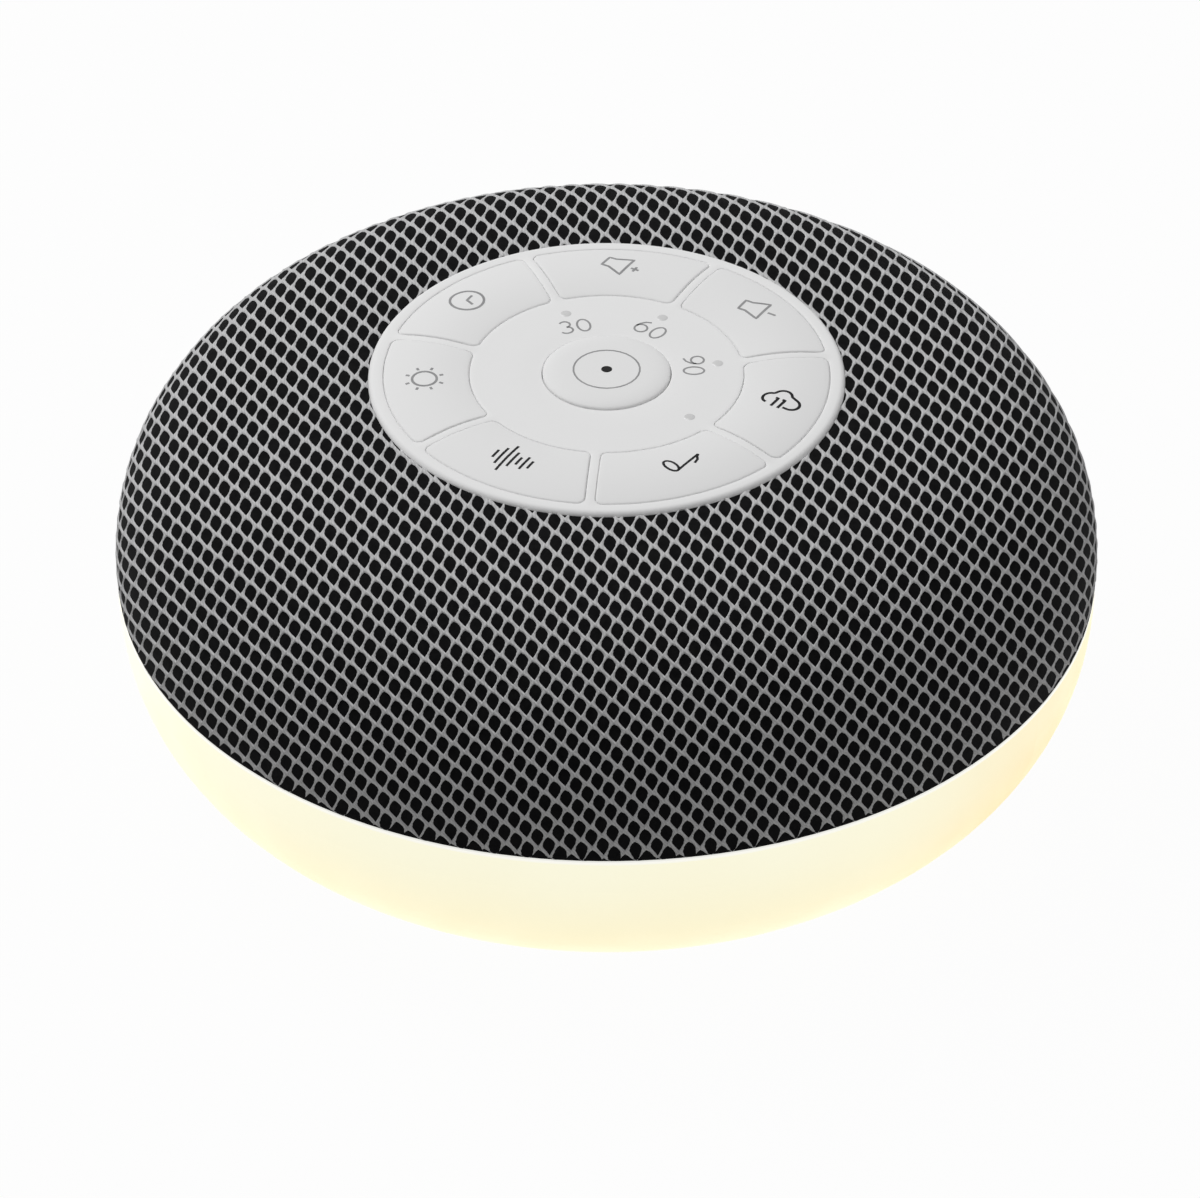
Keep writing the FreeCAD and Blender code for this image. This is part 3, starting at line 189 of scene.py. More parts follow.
class Nodes:
    """A node tree with one method that adds nodes to it."""

    def __init__(self, tree: bpy.types.NodeTree) -> None:
        """Keeps the tree."""
        self.tree = tree

    @staticmethod
    def pick(sockets: Any, key: str | int) -> bpy.types.NodeSocket:
        """Finds a socket in use.

        Args:
            sockets: a node's inputs or outputs.
            key: the socket's name or its place among those in use.

        Returns:
            The socket.
        """
        live = [s for s in sockets if s.enabled and not s.is_unavailable]
        if isinstance(key, int):
            return live[key]
        return next(s for s in live if s.name == key)

    def add(
        self,
        kind: str,
        settings: dict[str, Any] | None = None,
        inputs: dict[str | int, Any] | None = None,
        output: str | int = 0,
    ) -> Value:
        """Adds a node.

        Args:
            kind: the node's type.
            settings: its settings, set before its inputs; "stops" are a ramp's colours.
            inputs: numbers, colours or values of its sockets.
            output: the output that is returned.

        Returns:
            That output, or the node's first input if it has no output.
        """
        node = self.tree.nodes.new(kind)
        for name, setting in (settings or {}).items():
            if name == "stops":
                self.colour_stops(node, setting)
            else:
                setattr(node, name, setting)
        for key, value in (inputs or {}).items():
            socket = self.pick(node.inputs, key)
            if isinstance(value, Value):
                self.tree.links.new(value.socket, socket)
            elif socket.type == "RGBA" and len(value) == 3:
                socket.default_value = (*value, 1.0)
            else:
                socket.default_value = value
        sockets = node.outputs if len(node.outputs) else node.inputs
        return Value(self, self.pick(sockets, output))

    @staticmethod
    def colour_stops(node: bpy.types.Node, stops: Sequence[tuple[float, Colour]]) -> None:
        """Sets a colour ramp's stops."""
        ramp = node.color_ramp
        while len(ramp.elements) > len(stops):
            ramp.elements.remove(ramp.elements[-1])
        while len(ramp.elements) < len(stops):
            ramp.elements.new(1.0)
        for element, (place, colour) in zip(ramp.elements, stops):
            element.position = place
            element.color = (*colour, 1.0)

    def again(self, value: Value, output: str | int) -> Value:
        """Another output of the node that gives a value."""
        return Value(self, self.pick(value.socket.node.outputs, output))

    def place(self) -> Value:
        """Object coordinates of a material."""
        return self.add("ShaderNodeTexCoord", output="Object")

    def axes(self, vector: Value) -> tuple[Value, Value, Value]:
        """A vector's three numbers."""
        first = self.add("ShaderNodeSeparateXYZ", inputs={0: vector})
        return first, self.again(first, 1), self.again(first, 2)

    def scaled(self, vector: Value, scale: Point) -> Value:
        """A vector times another."""
        return self.add("ShaderNodeVectorMath", {"operation": "MULTIPLY"}, {0: vector, 1: scale})

    def noise(self, place: Value, scale: float, detail: float = 3.0, roughness: float = 0.5) -> Value:
        """Noise between nought and one, with its scale in cells per metre."""
        inputs = {"Vector": place, "Scale": scale, "Detail": detail, "Roughness": roughness}
        return self.add("ShaderNodeTexNoise", None, inputs)

    def mixed(self, share: Value | float, first: Any, second: Any) -> Value:
        """A colour between two colours."""
        inputs = {0: share, 1: first, 2: second}
        return self.add("ShaderNodeMix", {"data_type": "RGBA"}, inputs)

    def bump(self, height: Value, distance: float, strength: float = 1.0) -> Value:
        """A normal from a height between nought and one that stands for a real distance."""
        inputs = {"Strength": strength, "Distance": distance, "Height": height}
        return self.add("ShaderNodeBump", None, inputs)


def new_material(name: str) -> tuple[bpy.types.Material, Nodes]:
    """Makes an empty node material.

    Args:
        name: the material's name.

    Returns:
        The material and its nodes.
    """
    material = bpy.data.materials.new(name)
    material.use_nodes = True
    material.node_tree.nodes.clear()
    return material, Nodes(material.node_tree)


# Finishes

@dataclass(frozen=True)
class Finish:
    """A surface with a slight mottle in its tone and a fine grain.

    The scales are in cells per metre and the depth is in millimetres. The gloss varies in
    patches that are finer than the mottle's by the gloss ratio.
    """

    name: str
    colour: Colour
    mottle: Colour
    roughness: float = 0.5
    spread: float = 0.08
    mottle_scale: float = 60.0
    grain_scale: float = 2500.0
    grain_depth: float = 0.01
    metallic: float = 0.0
    coat: float = 0.0
    specular: float = 0.5
    mottle_span: Flat = (0.3, 0.7)
    gloss_span: Flat = (0.25, 0.75)
    gloss_ratio: float = 3.1

    def tone(self, nodes: Nodes, place: Value) -> Value:
        """The base colour over the surface."""
        cloud = nodes.noise(place, self.mottle_scale, 4.0)
        return nodes.mixed(cloud.ramp(*self.mottle_span), self.colour, self.mottle)

    def gloss(self, nodes: Nodes, place: Value) -> Value:
        """The roughness over the surface."""
        cloud = nodes.noise(place, self.mottle_scale * self.gloss_ratio)
        ends = self.roughness - self.spread, self.roughness + self.spread
        return cloud.ramp(*self.gloss_span, *ends)

    def relief(self, nodes: Nodes, place: Value) -> Value:
        """The normal that the grain gives."""
        return nodes.bump(nodes.noise(place, self.grain_scale), self.grain_depth * MM)

    def shader(self, nodes: Nodes) -> Value:
        """The whole surface shader."""
        place = nodes.place()
        inputs = {
            "Base Color": self.tone(nodes, place),
            "Roughness": self.gloss(nodes, place),
            "Metallic": self.metallic,
            "Coat Weight": self.coat,
            "Specular IOR Level": self.specular,
            "Normal": self.relief(nodes, place),
        }
        return nodes.add("ShaderNodeBsdfPrincipled", None, inputs)

    def material(self) -> bpy.types.Material:
        """The material, made once."""
        made = bpy.data.materials.get(self.name)
        if made is None:
            made, nodes = new_material(self.name)
            nodes.add("ShaderNodeOutputMaterial", None, {"Surface": self.shader(nodes)})
        return made


@dataclass(frozen=True)
class SoftShell(Finish):
    """Matt moulded shell with the fine stipple of a spark-eroded mould."""

    stipple_scale: float = 5200.0
    stipple_softness: float = 0.6
    stipple_share: float = 0.5
    wave_share: float = 0.12

    def relief(self, nodes: Nodes, place: Value) -> Value:
        """Stipple pits over a slight waviness."""
        pits = nodes.add(
            "ShaderNodeTexVoronoi",
            {"feature": "SMOOTH_F1"},
            {"Vector": place, "Scale": self.stipple_scale, "Smoothness": self.stipple_softness},
        )
        waves = nodes.noise(place, self.grain_scale * self.wave_share, 2.0)
        height = pits * self.stipple_share + waves * (1.0 - self.stipple_share)
        return nodes.bump(height, self.grain_depth * MM)


@dataclass(frozen=True)
class KnitYarn(Finish):
    """Multifilament yarn of the net: fine twisted strands, painted shade in the gaps between them, and a
    fleck in the tone.
    """

    strand_scale: float = 1040.0
    strand_wander: float = 7.0
    strand_share: float = 0.6
    drift_scale: float = 900.0
    squeeze: Point = (1.0, 0.62, 0.8)

    def strands(self, nodes: Nodes, place: Value) -> Value:
        """Fine strands that wander along the yarn."""
        drift = nodes.noise(place, self.drift_scale, 2.0)
        moved = nodes.scaled(place, self.squeeze)
        lines = nodes.add(
            "ShaderNodeTexWave",
            {"wave_type": "BANDS", "bands_direction": "DIAGONAL"},
            {"Vector": moved, "Scale": self.strand_scale, "Distortion": self.strand_wander, "Detail": 2.0},
            "Fac",
        )
        return lines * self.strand_share + drift * (1.0 - self.strand_share)

    def tone(self, nodes: Nodes, place: Value) -> Value:
        """Lighter on the strands, with painted shade darkening the gaps between them."""
        return nodes.mixed(self.strands(nodes, place), self.mottle, self.colour)

    def relief(self, nodes: Nodes, place: Value) -> Value:
        """Strands as relief."""
        return nodes.bump(self.strands(nodes, place), self.grain_depth * MM)


@dataclass(frozen=True)
class LampGlow(Finish):
    """Opal plastic lit from inside by a ring of lamps."""

    glow: Colour = (1.0, 0.92, 0.62)
    bright_glow: Colour = (1.0, 0.985, 0.78)
    warm_glow: Colour = (0.93, 0.70, 0.30)
    lip_glow: Colour = (1.0, 1.0, 0.95)
    warm_side: float = math.radians(30.0)
    strength: float = 0.80
    low: float = 12.0
    high: float = 31.6
    lamp_count: int = 16
    lamp_share: float = 0.04
    level_share: float = 0.9
    cloud_share: float = 0.2
    cloud_scale: float = 30.0
    warm_span: Flat = (0.5, 0.95)
    warm_share: float = 0.9
    warm_fade: float = 0.5
    lip_depth: float = 0.55
    lip_fade: float = 0.25

    def shader(self, nodes: Nodes) -> Value:
        """The opal surface with its glow, brighter near the lamps and at the lip, and painted warmer and
        dimmer on one side.
        """
        place = nodes.place()
        across, along, height = nodes.axes(place)
        turn = across.math("ARCTAN2", along, across)
        level = height.ramp(self.low * MM, self.high * MM)
        lamps = (turn * float(self.lamp_count)).sine() * self.lamp_share * level
        cloud = nodes.noise(place, self.cloud_scale, 2.0) * self.cloud_share
        share = (level * self.level_share + lamps + cloud - self.cloud_share / 2).between(0.0, 1.0)
        # Painted shade: the glow turns warmer and dimmer on the side toward the camera's right, where the
        # side lamp falls.
        side = (turn + (math.pi / 2 - self.warm_side)).sine()
        side = side.ramp(*self.warm_span, 0.0, self.warm_share)
        colour = nodes.mixed(share, self.glow, self.bright_glow)
        colour = nodes.mixed(side * (1.0 - level * self.warm_fade), colour, self.warm_glow)
        lip = height.ramp((self.high - self.lip_depth) * MM, (self.high - self.lip_fade) * MM)
        colour = nodes.mixed(lip, colour, self.lip_glow)
        inputs = {
            "Base Color": self.tone(nodes, place),
            "Roughness": self.gloss(nodes, place),
            "Specular IOR Level": self.specular,
            "Normal": self.relief(nodes, place),
            "Emission Color": colour,
            "Emission Strength": self.strength,
        }
        return nodes.add("ShaderNodeBsdfPrincipled", None, inputs)


@dataclass(frozen=True)
class BoardMask(Finish):
    """Circuit board: solder mask over copper tracks that run in steps."""

    track: Colour = (0.03, 0.16, 0.07)
    pitch: float = 1.6
    patch_scale: float = 90.0
    patch_span: Flat = (0.45, 0.55)

    def tone(self, nodes: Nodes, place: Value) -> Value:
        """Mask with tracks and pads showing through."""
        tracks = nodes.add(
            "ShaderNodeTexBrick",
            {"offset": 0.35, "squash": 1.0},
            {
                "Vector": place, "Scale": 1.0 / (self.pitch * MM), "Mortar Size": 0.09,
                "Brick Width": 2.6, "Row Height": 0.55, "Mortar Smooth": 0.2,
            },
            "Fac",
        )
        cloud = nodes.noise(place, self.patch_scale, 2.0).ramp(*self.patch_span)
        return nodes.mixed(tracks * cloud, self.colour, self.track)


@dataclass(frozen=True)
class TurnedMetal(Finish):
    """Metal with fine lathe marks round the upright axis."""

    mark_scale: float = 1800.0
    squeeze: Point = (1.0, 1.0, 6.0)

    def relief(self, nodes: Nodes, place: Value) -> Value:
        """Marks that run round the part."""
        flat = nodes.scaled(place, self.squeeze)
        marks = nodes.noise(flat, self.mark_scale, 2.0)
        return nodes.bump(marks, self.grain_depth * MM)


@dataclass(frozen=True)
class PaperCone(Finish):
    """Pressed paper with fibres and faint rings."""

    ring_pitch: float = 1.1
    ring_share: float = 0.4
    squeeze: Point = (1.0, 0.3, 1.0)

    def relief(self, nodes: Nodes, place: Value) -> Value:
        """Fibres over the rings."""
        across, along, _ = nodes.axes(place)
        radius = (across * across + along * along).root()
        rings = (radius * (math.tau / (self.ring_pitch * MM))).sine() * 0.5 + 0.5
        fibres = nodes.noise(nodes.scaled(place, self.squeeze), self.grain_scale)
        height = rings * self.ring_share + fibres * (1.0 - self.ring_share)
        return nodes.bump(height, self.grain_depth * MM)


def grey(tone: float, blue: float = 0.0) -> Colour:
    """A grey, with a little more or less blue in it."""
    return (tone, tone, round(tone + blue, 4))


PANEL_SHELL = SoftShell("panel_plastic", grey(0.765), grey(0.745), 0.52, 0.04, 45.0, 2500.0, 0.012)
KEY_SHELL = SoftShell("key_plastic", grey(0.77), grey(0.75), 0.5, 0.04, 45.0, 2500.0, 0.012)
# The yarn's darker tone is painted shade between its strands, mixed with a random fleck.
NET_YARN = KnitYarn(
    "net_yarn", grey(0.66, 0.005), grey(0.46, 0.005), 0.85, 0.08, 300.0, 4000.0, 0.02, specular=0.3)
BACKING_KNIT = Finish(
    "backing_knit", grey(0.003, 0.0005), grey(0.006, 0.0005), 0.95, 0.03, 900.0, 3800.0, 0.05,
    specular=0.12)
OPAL_BOWL = LampGlow(
    "opal_bowl", (0.44, 0.41, 0.32), (0.42, 0.39, 0.30), 0.42, 0.05, 40.0, 2600.0, 0.006, specular=0.2)
GREY_INK = Finish("grey_ink", grey(0.28, 0.005), grey(0.34, 0.005), 0.6, 0.05, 500.0, 4000.0, 0.002)
DARK_INK = Finish(
    "dark_ink", grey(0.012, 0.001), grey(0.02, 0.001), 0.6, 0.05, 500.0, 4000.0, 0.002, specular=0.2)
LIGHT_PIPE = Finish("light_pipe", grey(0.74), grey(0.70), 0.3, 0.05, 200.0, 3000.0, 0.002, 0.0, 0.3)

# Finishes that go by the names of the record's slots
PLAIN_SLOTS = (
    PANEL_SHELL,
    KEY_SHELL,
    SoftShell("black_plastic", grey(0.012, 0.001), grey(0.018, 0.001), 0.6, 0.08),
    SoftShell("base_plastic", (0.62, 0.61, 0.58), (0.58, 0.57, 0.54), 0.55, 0.06),
    SoftShell("reflector_white", grey(0.80, -0.02), grey(0.77, -0.02), 0.45, 0.05),
    Finish("foot_rubber", grey(0.03, 0.002), grey(0.045, 0.003), 0.85, 0.06, 200.0, 3500.0, 0.03),
    Finish("mat_silicone", (0.32, 0.33, 0.34), (0.28, 0.29, 0.30), 0.7, 0.06, 120.0, 2000.0, 0.01),
    Finish("switch_plastic", grey(0.03), grey(0.05), 0.45, 0.08, 500.0),
    Finish("led_white", (0.78, 0.72, 0.45), (0.82, 0.80, 0.66), 0.35, 0.05, 900.0, 3000.0, 0.004),
    Finish("foam_black", grey(0.02), grey(0.035), 0.95, 0.03, 900.0, 2200.0, 0.12),
    Finish(
        "magnet_ferrite", grey(0.06, 0.002), grey(0.09, 0.002), 0.7, 0.1, 250.0, 1500.0, 0.03, 0.2),
    Finish("surround_rubber", grey(0.015, 0.001), grey(0.025, 0.001), 0.6, 0.08, 150.0),
    Finish("chip_black", grey(0.015, 0.001), grey(0.022, 0.001), 0.5, 0.06, 600.0, 5000.0, 0.01),
    Finish("cell_foil", (0.52, 0.53, 0.55), (0.46, 0.47, 0.49), 0.35, 0.1, 130.0, 500.0, 0.06, 0.8),
    Finish("cable_white", grey(0.62, -0.02), grey(0.56, -0.02), 0.5, 0.06, 300.0),
    Finish("cable_black", grey(0.02), grey(0.03), 0.5, 0.06, 300.0),
    Finish("cable_red", (0.38, 0.03, 0.02), (0.30, 0.025, 0.02), 0.5, 0.06, 300.0),
    TurnedMetal(
        "screw_steel", grey(0.42, 0.01), grey(0.33, 0.01), 0.32, 0.1, 400.0, 2500.0, 0.01, 1.0),
    TurnedMetal(
        "basket_steel", grey(0.05, 0.005), grey(0.07, 0.005), 0.45, 0.08, 200.0, 2500.0, 0.01, 0.6),
    TurnedMetal("capacitor_can", (0.03, 0.04, 0.09), (0.05, 0.06, 0.12), 0.35, 0.06, 300.0),
    TurnedMetal(
        "socket_steel", grey(0.55, 0.01), grey(0.46, 0.01), 0.3, 0.08, 400.0, 2500.0, 0.008, 1.0),
    PaperCone("cone_paper", grey(0.03), grey(0.05, -0.002), 0.85, 0.06, 400.0, 2200.0, 0.05),
    BoardMask("circuit_board", (0.012, 0.07, 0.03), (0.02, 0.09, 0.04), 0.35, 0.08, 80.0),
    BoardMask(
        "circuit_board_white", grey(0.72, -0.02), grey(0.68, -0.02), 0.4, 0.08, 80.0,
        track=grey(0.58, -0.03)),
)

# The record's slots and the finish of each
SLOT_FINISH: dict[str, Finish] = {finish.name: finish for finish in PLAIN_SLOTS} | {
    "mesh_fabric": NET_YARN, "lamp_diffuser": OPAL_BOWL, "lens_plastic": LIGHT_PIPE,
}


# Meshes

# Points of a piece that are nearer than this are merged, in millimetres
MERGE = 0.004
# Radius of the ring that closes a turned form at its axis
POLE = 0.001
# Faces flatter than this share of the merging distance are dropped
FLAT_SHARE = 0.1
# Edges up to this angle are shaded smoothly
SMOOTH_ANGLE = math.radians(35.0)


class Mesh:
    """Points and faces that are gathered and then made into one piece."""

    def __init__(self) -> None:
        """Starts empty."""
        self.points: list[Point] = []
        self.faces: list[tuple[int, ...]] = []

    def ring(self, points: Iterable[Point]) -> list[int]:
        """Adds points and returns their numbers."""
        start = len(self.points)
        self.points.extend(points)
        return list(range(start, len(self.points)))

    def strip(self, first: Sequence[int], second: Sequence[int], closed: bool = True) -> None:
        """Joins two rows of points with four-sided faces.

        Args:
            first: one row.
            second: the next row, with as many points.
            closed: whether the rows run all the way round.
        """
        count = len(first)
        for index in range(count if closed else count - 1):
            after = (index + 1) % count
            self.faces.append((first[index], first[after], second[after], second[index]))

    def rings(self, rows: Sequence[Sequence[Point]], closed: bool = True) -> None:
        """Joins each row of points to the next."""
        numbered = [self.ring(row) for row in rows]
        for first, second in zip(numbered, numbered[1:]):
            self.strip(first, second, closed)

    def turned(self, profile: Sequence[Flat], steps: int, middle: Flat = (0.0, 0.0)) -> None:
        """Turns a profile of (radius, height) about an upright axis.

        Args:
            profile: the profile's points.
            steps: how many sides the turned form has.
            middle: where the axis stands.
        """
        x, y = middle
        rows = []
        for radius, height in profile:
            ring = (polar(radius, math.tau * k / steps) for k in range(steps))
            rows.append([(x + px, y + py, height) for px, py, _ in ring])
        self.rings(rows)

    def data(self, name: str) -> bpy.types.Mesh:
        """The gathered mesh in metres."""
        made = bpy.data.meshes.new(name)
        made.from_pydata([tuple(c * MM for c in p) for p in self.points], [], self.faces)
        return made

    def piece(
        self, name: str, finish: Finish, body: str, slot: str | None = None, node: str | None = None
    ) -> bpy.types.Object:
        """Makes the gathered mesh a piece.

        Args:
            name: the piece's name.
            finish: its finish.
            body: the body that it rides on.
            slot: the record's material slot, if it has one; not used.
            node: the node that it stands for, if it stands for one.

        Returns:
            The piece.
        """
        data = self.data(name)
        piece = linked(name, data)
        tidy(data, MERGE * MM)
        data.materials.append(finish.material())
        for polygon in data.polygons:
            polygon.use_smooth = True
        data.set_sharp_from_angle(angle=SMOOTH_ANGLE)
        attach(piece, body)
        if node:
            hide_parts(node)
        return piece


def tidy(data: bpy.types.Mesh, distance: float) -> None:
    """Merges near points, drops flat faces and turns the faces outwards.

    Args:
        data: the mesh.
        distance: how near the merged points are, in metres.
    """
    work = bmesh.new()
    work.from_mesh(data)
    bmesh.ops.remove_doubles(work, verts=work.verts, dist=distance)
    bmesh.ops.dissolve_degenerate(work, edges=work.edges, dist=distance * FLAT_SHARE)
    bmesh.ops.recalc_face_normals(work, faces=work.faces)
    work.to_mesh(data)
    work.free()


def arc_heights(start: Flat, middle: Flat, end: Flat) -> tuple[float, float, float]:
    """Circle through three (radius, height) points: its centre and its radius."""
    ax, ay, bx, by, cx, cy = *start, *middle, *end
    d = 2 * (ax * (by - cy) + bx * (cy - ay) + cx * (ay - by))
    a2, b2, c2 = ax * ax + ay * ay, bx * bx + by * by, cx * cx + cy * cy
    x = (a2 * (by - cy) + b2 * (cy - ay) + c2 * (ay - by)) / d
    y = (a2 * (cx - bx) + b2 * (ax - cx) + c2 * (bx - ax)) / d
    return x, y, math.hypot(ax - x, ay - y)


# The dome and its fabric

@dataclass(frozen=True)
class Dome:
    """The dome's meridian: two tangent arcs from the panel's edge down to the seam."""

    body_radius: float = 72.5
    seam: float = 31.9
    widest_rise: float = 3.4
    shoulder: float = 28.8
    turn: float = 79.0
    panel: float = 34.8

    @property
    def shoulder_r(self) -> float:
        """Radius of the shoulder arc's centre."""
        return self.body_radius - self.shoulder

    @property
    def shoulder_z(self) -> float:
        """Height of the shoulder arc's centre."""
        return self.seam + self.widest_rise

    @property
    def shift(self) -> float:
        """Distance between the two arcs' centres."""
        return (self.shoulder_r - self.panel) / math.cos(math.radians(self.turn))

    @property
    def crown(self) -> float:
        """Radius of the crown arc."""
        return self.shoulder + self.shift

    @property
    def crown_z(self) -> float:
        """Height of the crown arc's centre."""
        return self.shoulder_z - self.shift * math.sin(math.radians(self.turn))

    @property
    def knee(self) -> float:
        """Turn of the crown arc in radians."""
        return math.radians(90.0 - self.turn)

    @property
    def tuck(self) -> float:
        """Angle in radians from the widest circle down to the seam."""
        return math.asin(self.widest_rise / self.shoulder)

    @property
    def length(self) -> float:
        """Length of the meridian from the panel's edge to the seam."""
        return self.crown * self.knee + self.shoulder * (math.radians(self.turn) + self.tuck)

    @property
    def top(self) -> float:
        """Height of the dome at the panel's edge."""
        return self.crown_z + self.crown

    def on_crown(self, tilt: float, inset: float = 0.0) -> Flat:
        """Point of the crown arc at a slope, moved in by an inset."""
        reach = self.crown - inset
        return self.panel + reach * math.sin(tilt), self.crown_z + reach * math.cos(tilt)

    def on_shoulder(self, tilt: float, inset: float = 0.0) -> Flat:
        """Point of the shoulder arc at a slope, moved in by an inset."""
        reach = self.shoulder - inset
        return self.shoulder_r + reach * math.sin(tilt), self.shoulder_z + reach * math.cos(tilt)

    def nearest(self, point: Vector) -> tuple[Vector, Vector]:
        """The surface's nearest point and its normal, level under the panel."""
        flat = math.hypot(point.x, point.y)
        if flat <= self.panel:
            return Vector((point.x, point.y, self.top)), Vector((0.0, 0.0, 1.0))
        radius, height, tilt = self.on_arc(flat, point.z)
        out = Vector((point.x / flat, point.y / flat, 0.0))
        up = Vector((0.0, 0.0, 1.0))
        return out * radius + up * height, out * math.sin(tilt) + up * math.cos(tilt)

    def on_arc(self, flat: float, height: float) -> tuple[float, float, float]:
        """Radius, height and slope in radians of the meridian's nearest point."""
        tilt = math.atan2(flat - self.panel, height - self.crown_z)
        if tilt <= self.knee:
            return (*self.on_crown(tilt), tilt)
        tilt = math.atan2(flat - self.shoulder_r, height - self.shoulder_z)
        return (*self.on_shoulder(tilt), tilt)

    def trimmed(self, point: Vector) -> tuple[float, float, float, bool]:
        """The meridian's nearest point, kept between the panel and the seam.

        Args:
            point: a point near the surface.

        Returns:
            Its radius, height and slope in radians, and whether it was outside.
        """
        flat = math.hypot(point.x, point.y)
        if flat <= self.panel:
            return self.panel, self.top, 0.0, True
        radius, height, tilt = self.on_arc(flat, point.z)
        last = math.pi / 2 + self.tuck
        if tilt < last:
            return radius, height, tilt, False
        return (*self.on_shoulder(last), last, True)

    def line(self, offset: float, steps: int) -> list[Flat]:
        """The meridian offset inwards, from the panel's edge to the seam.

        Args:
            offset: how far inside the outer surface.
            steps: how many runs it is divided into.

        Returns:
            Its (radius, height) points.
        """
        points = []
        for index in range(steps + 1):
            along = self.length * index / steps
            tilt = along / self.crown
            if tilt <= self.knee:
                points.append(self.on_crown(tilt, offset))
                continue
            tilt = self.knee + (along - self.crown * self.knee) / self.shoulder
            points.append(self.on_shoulder(tilt, offset))
        return points


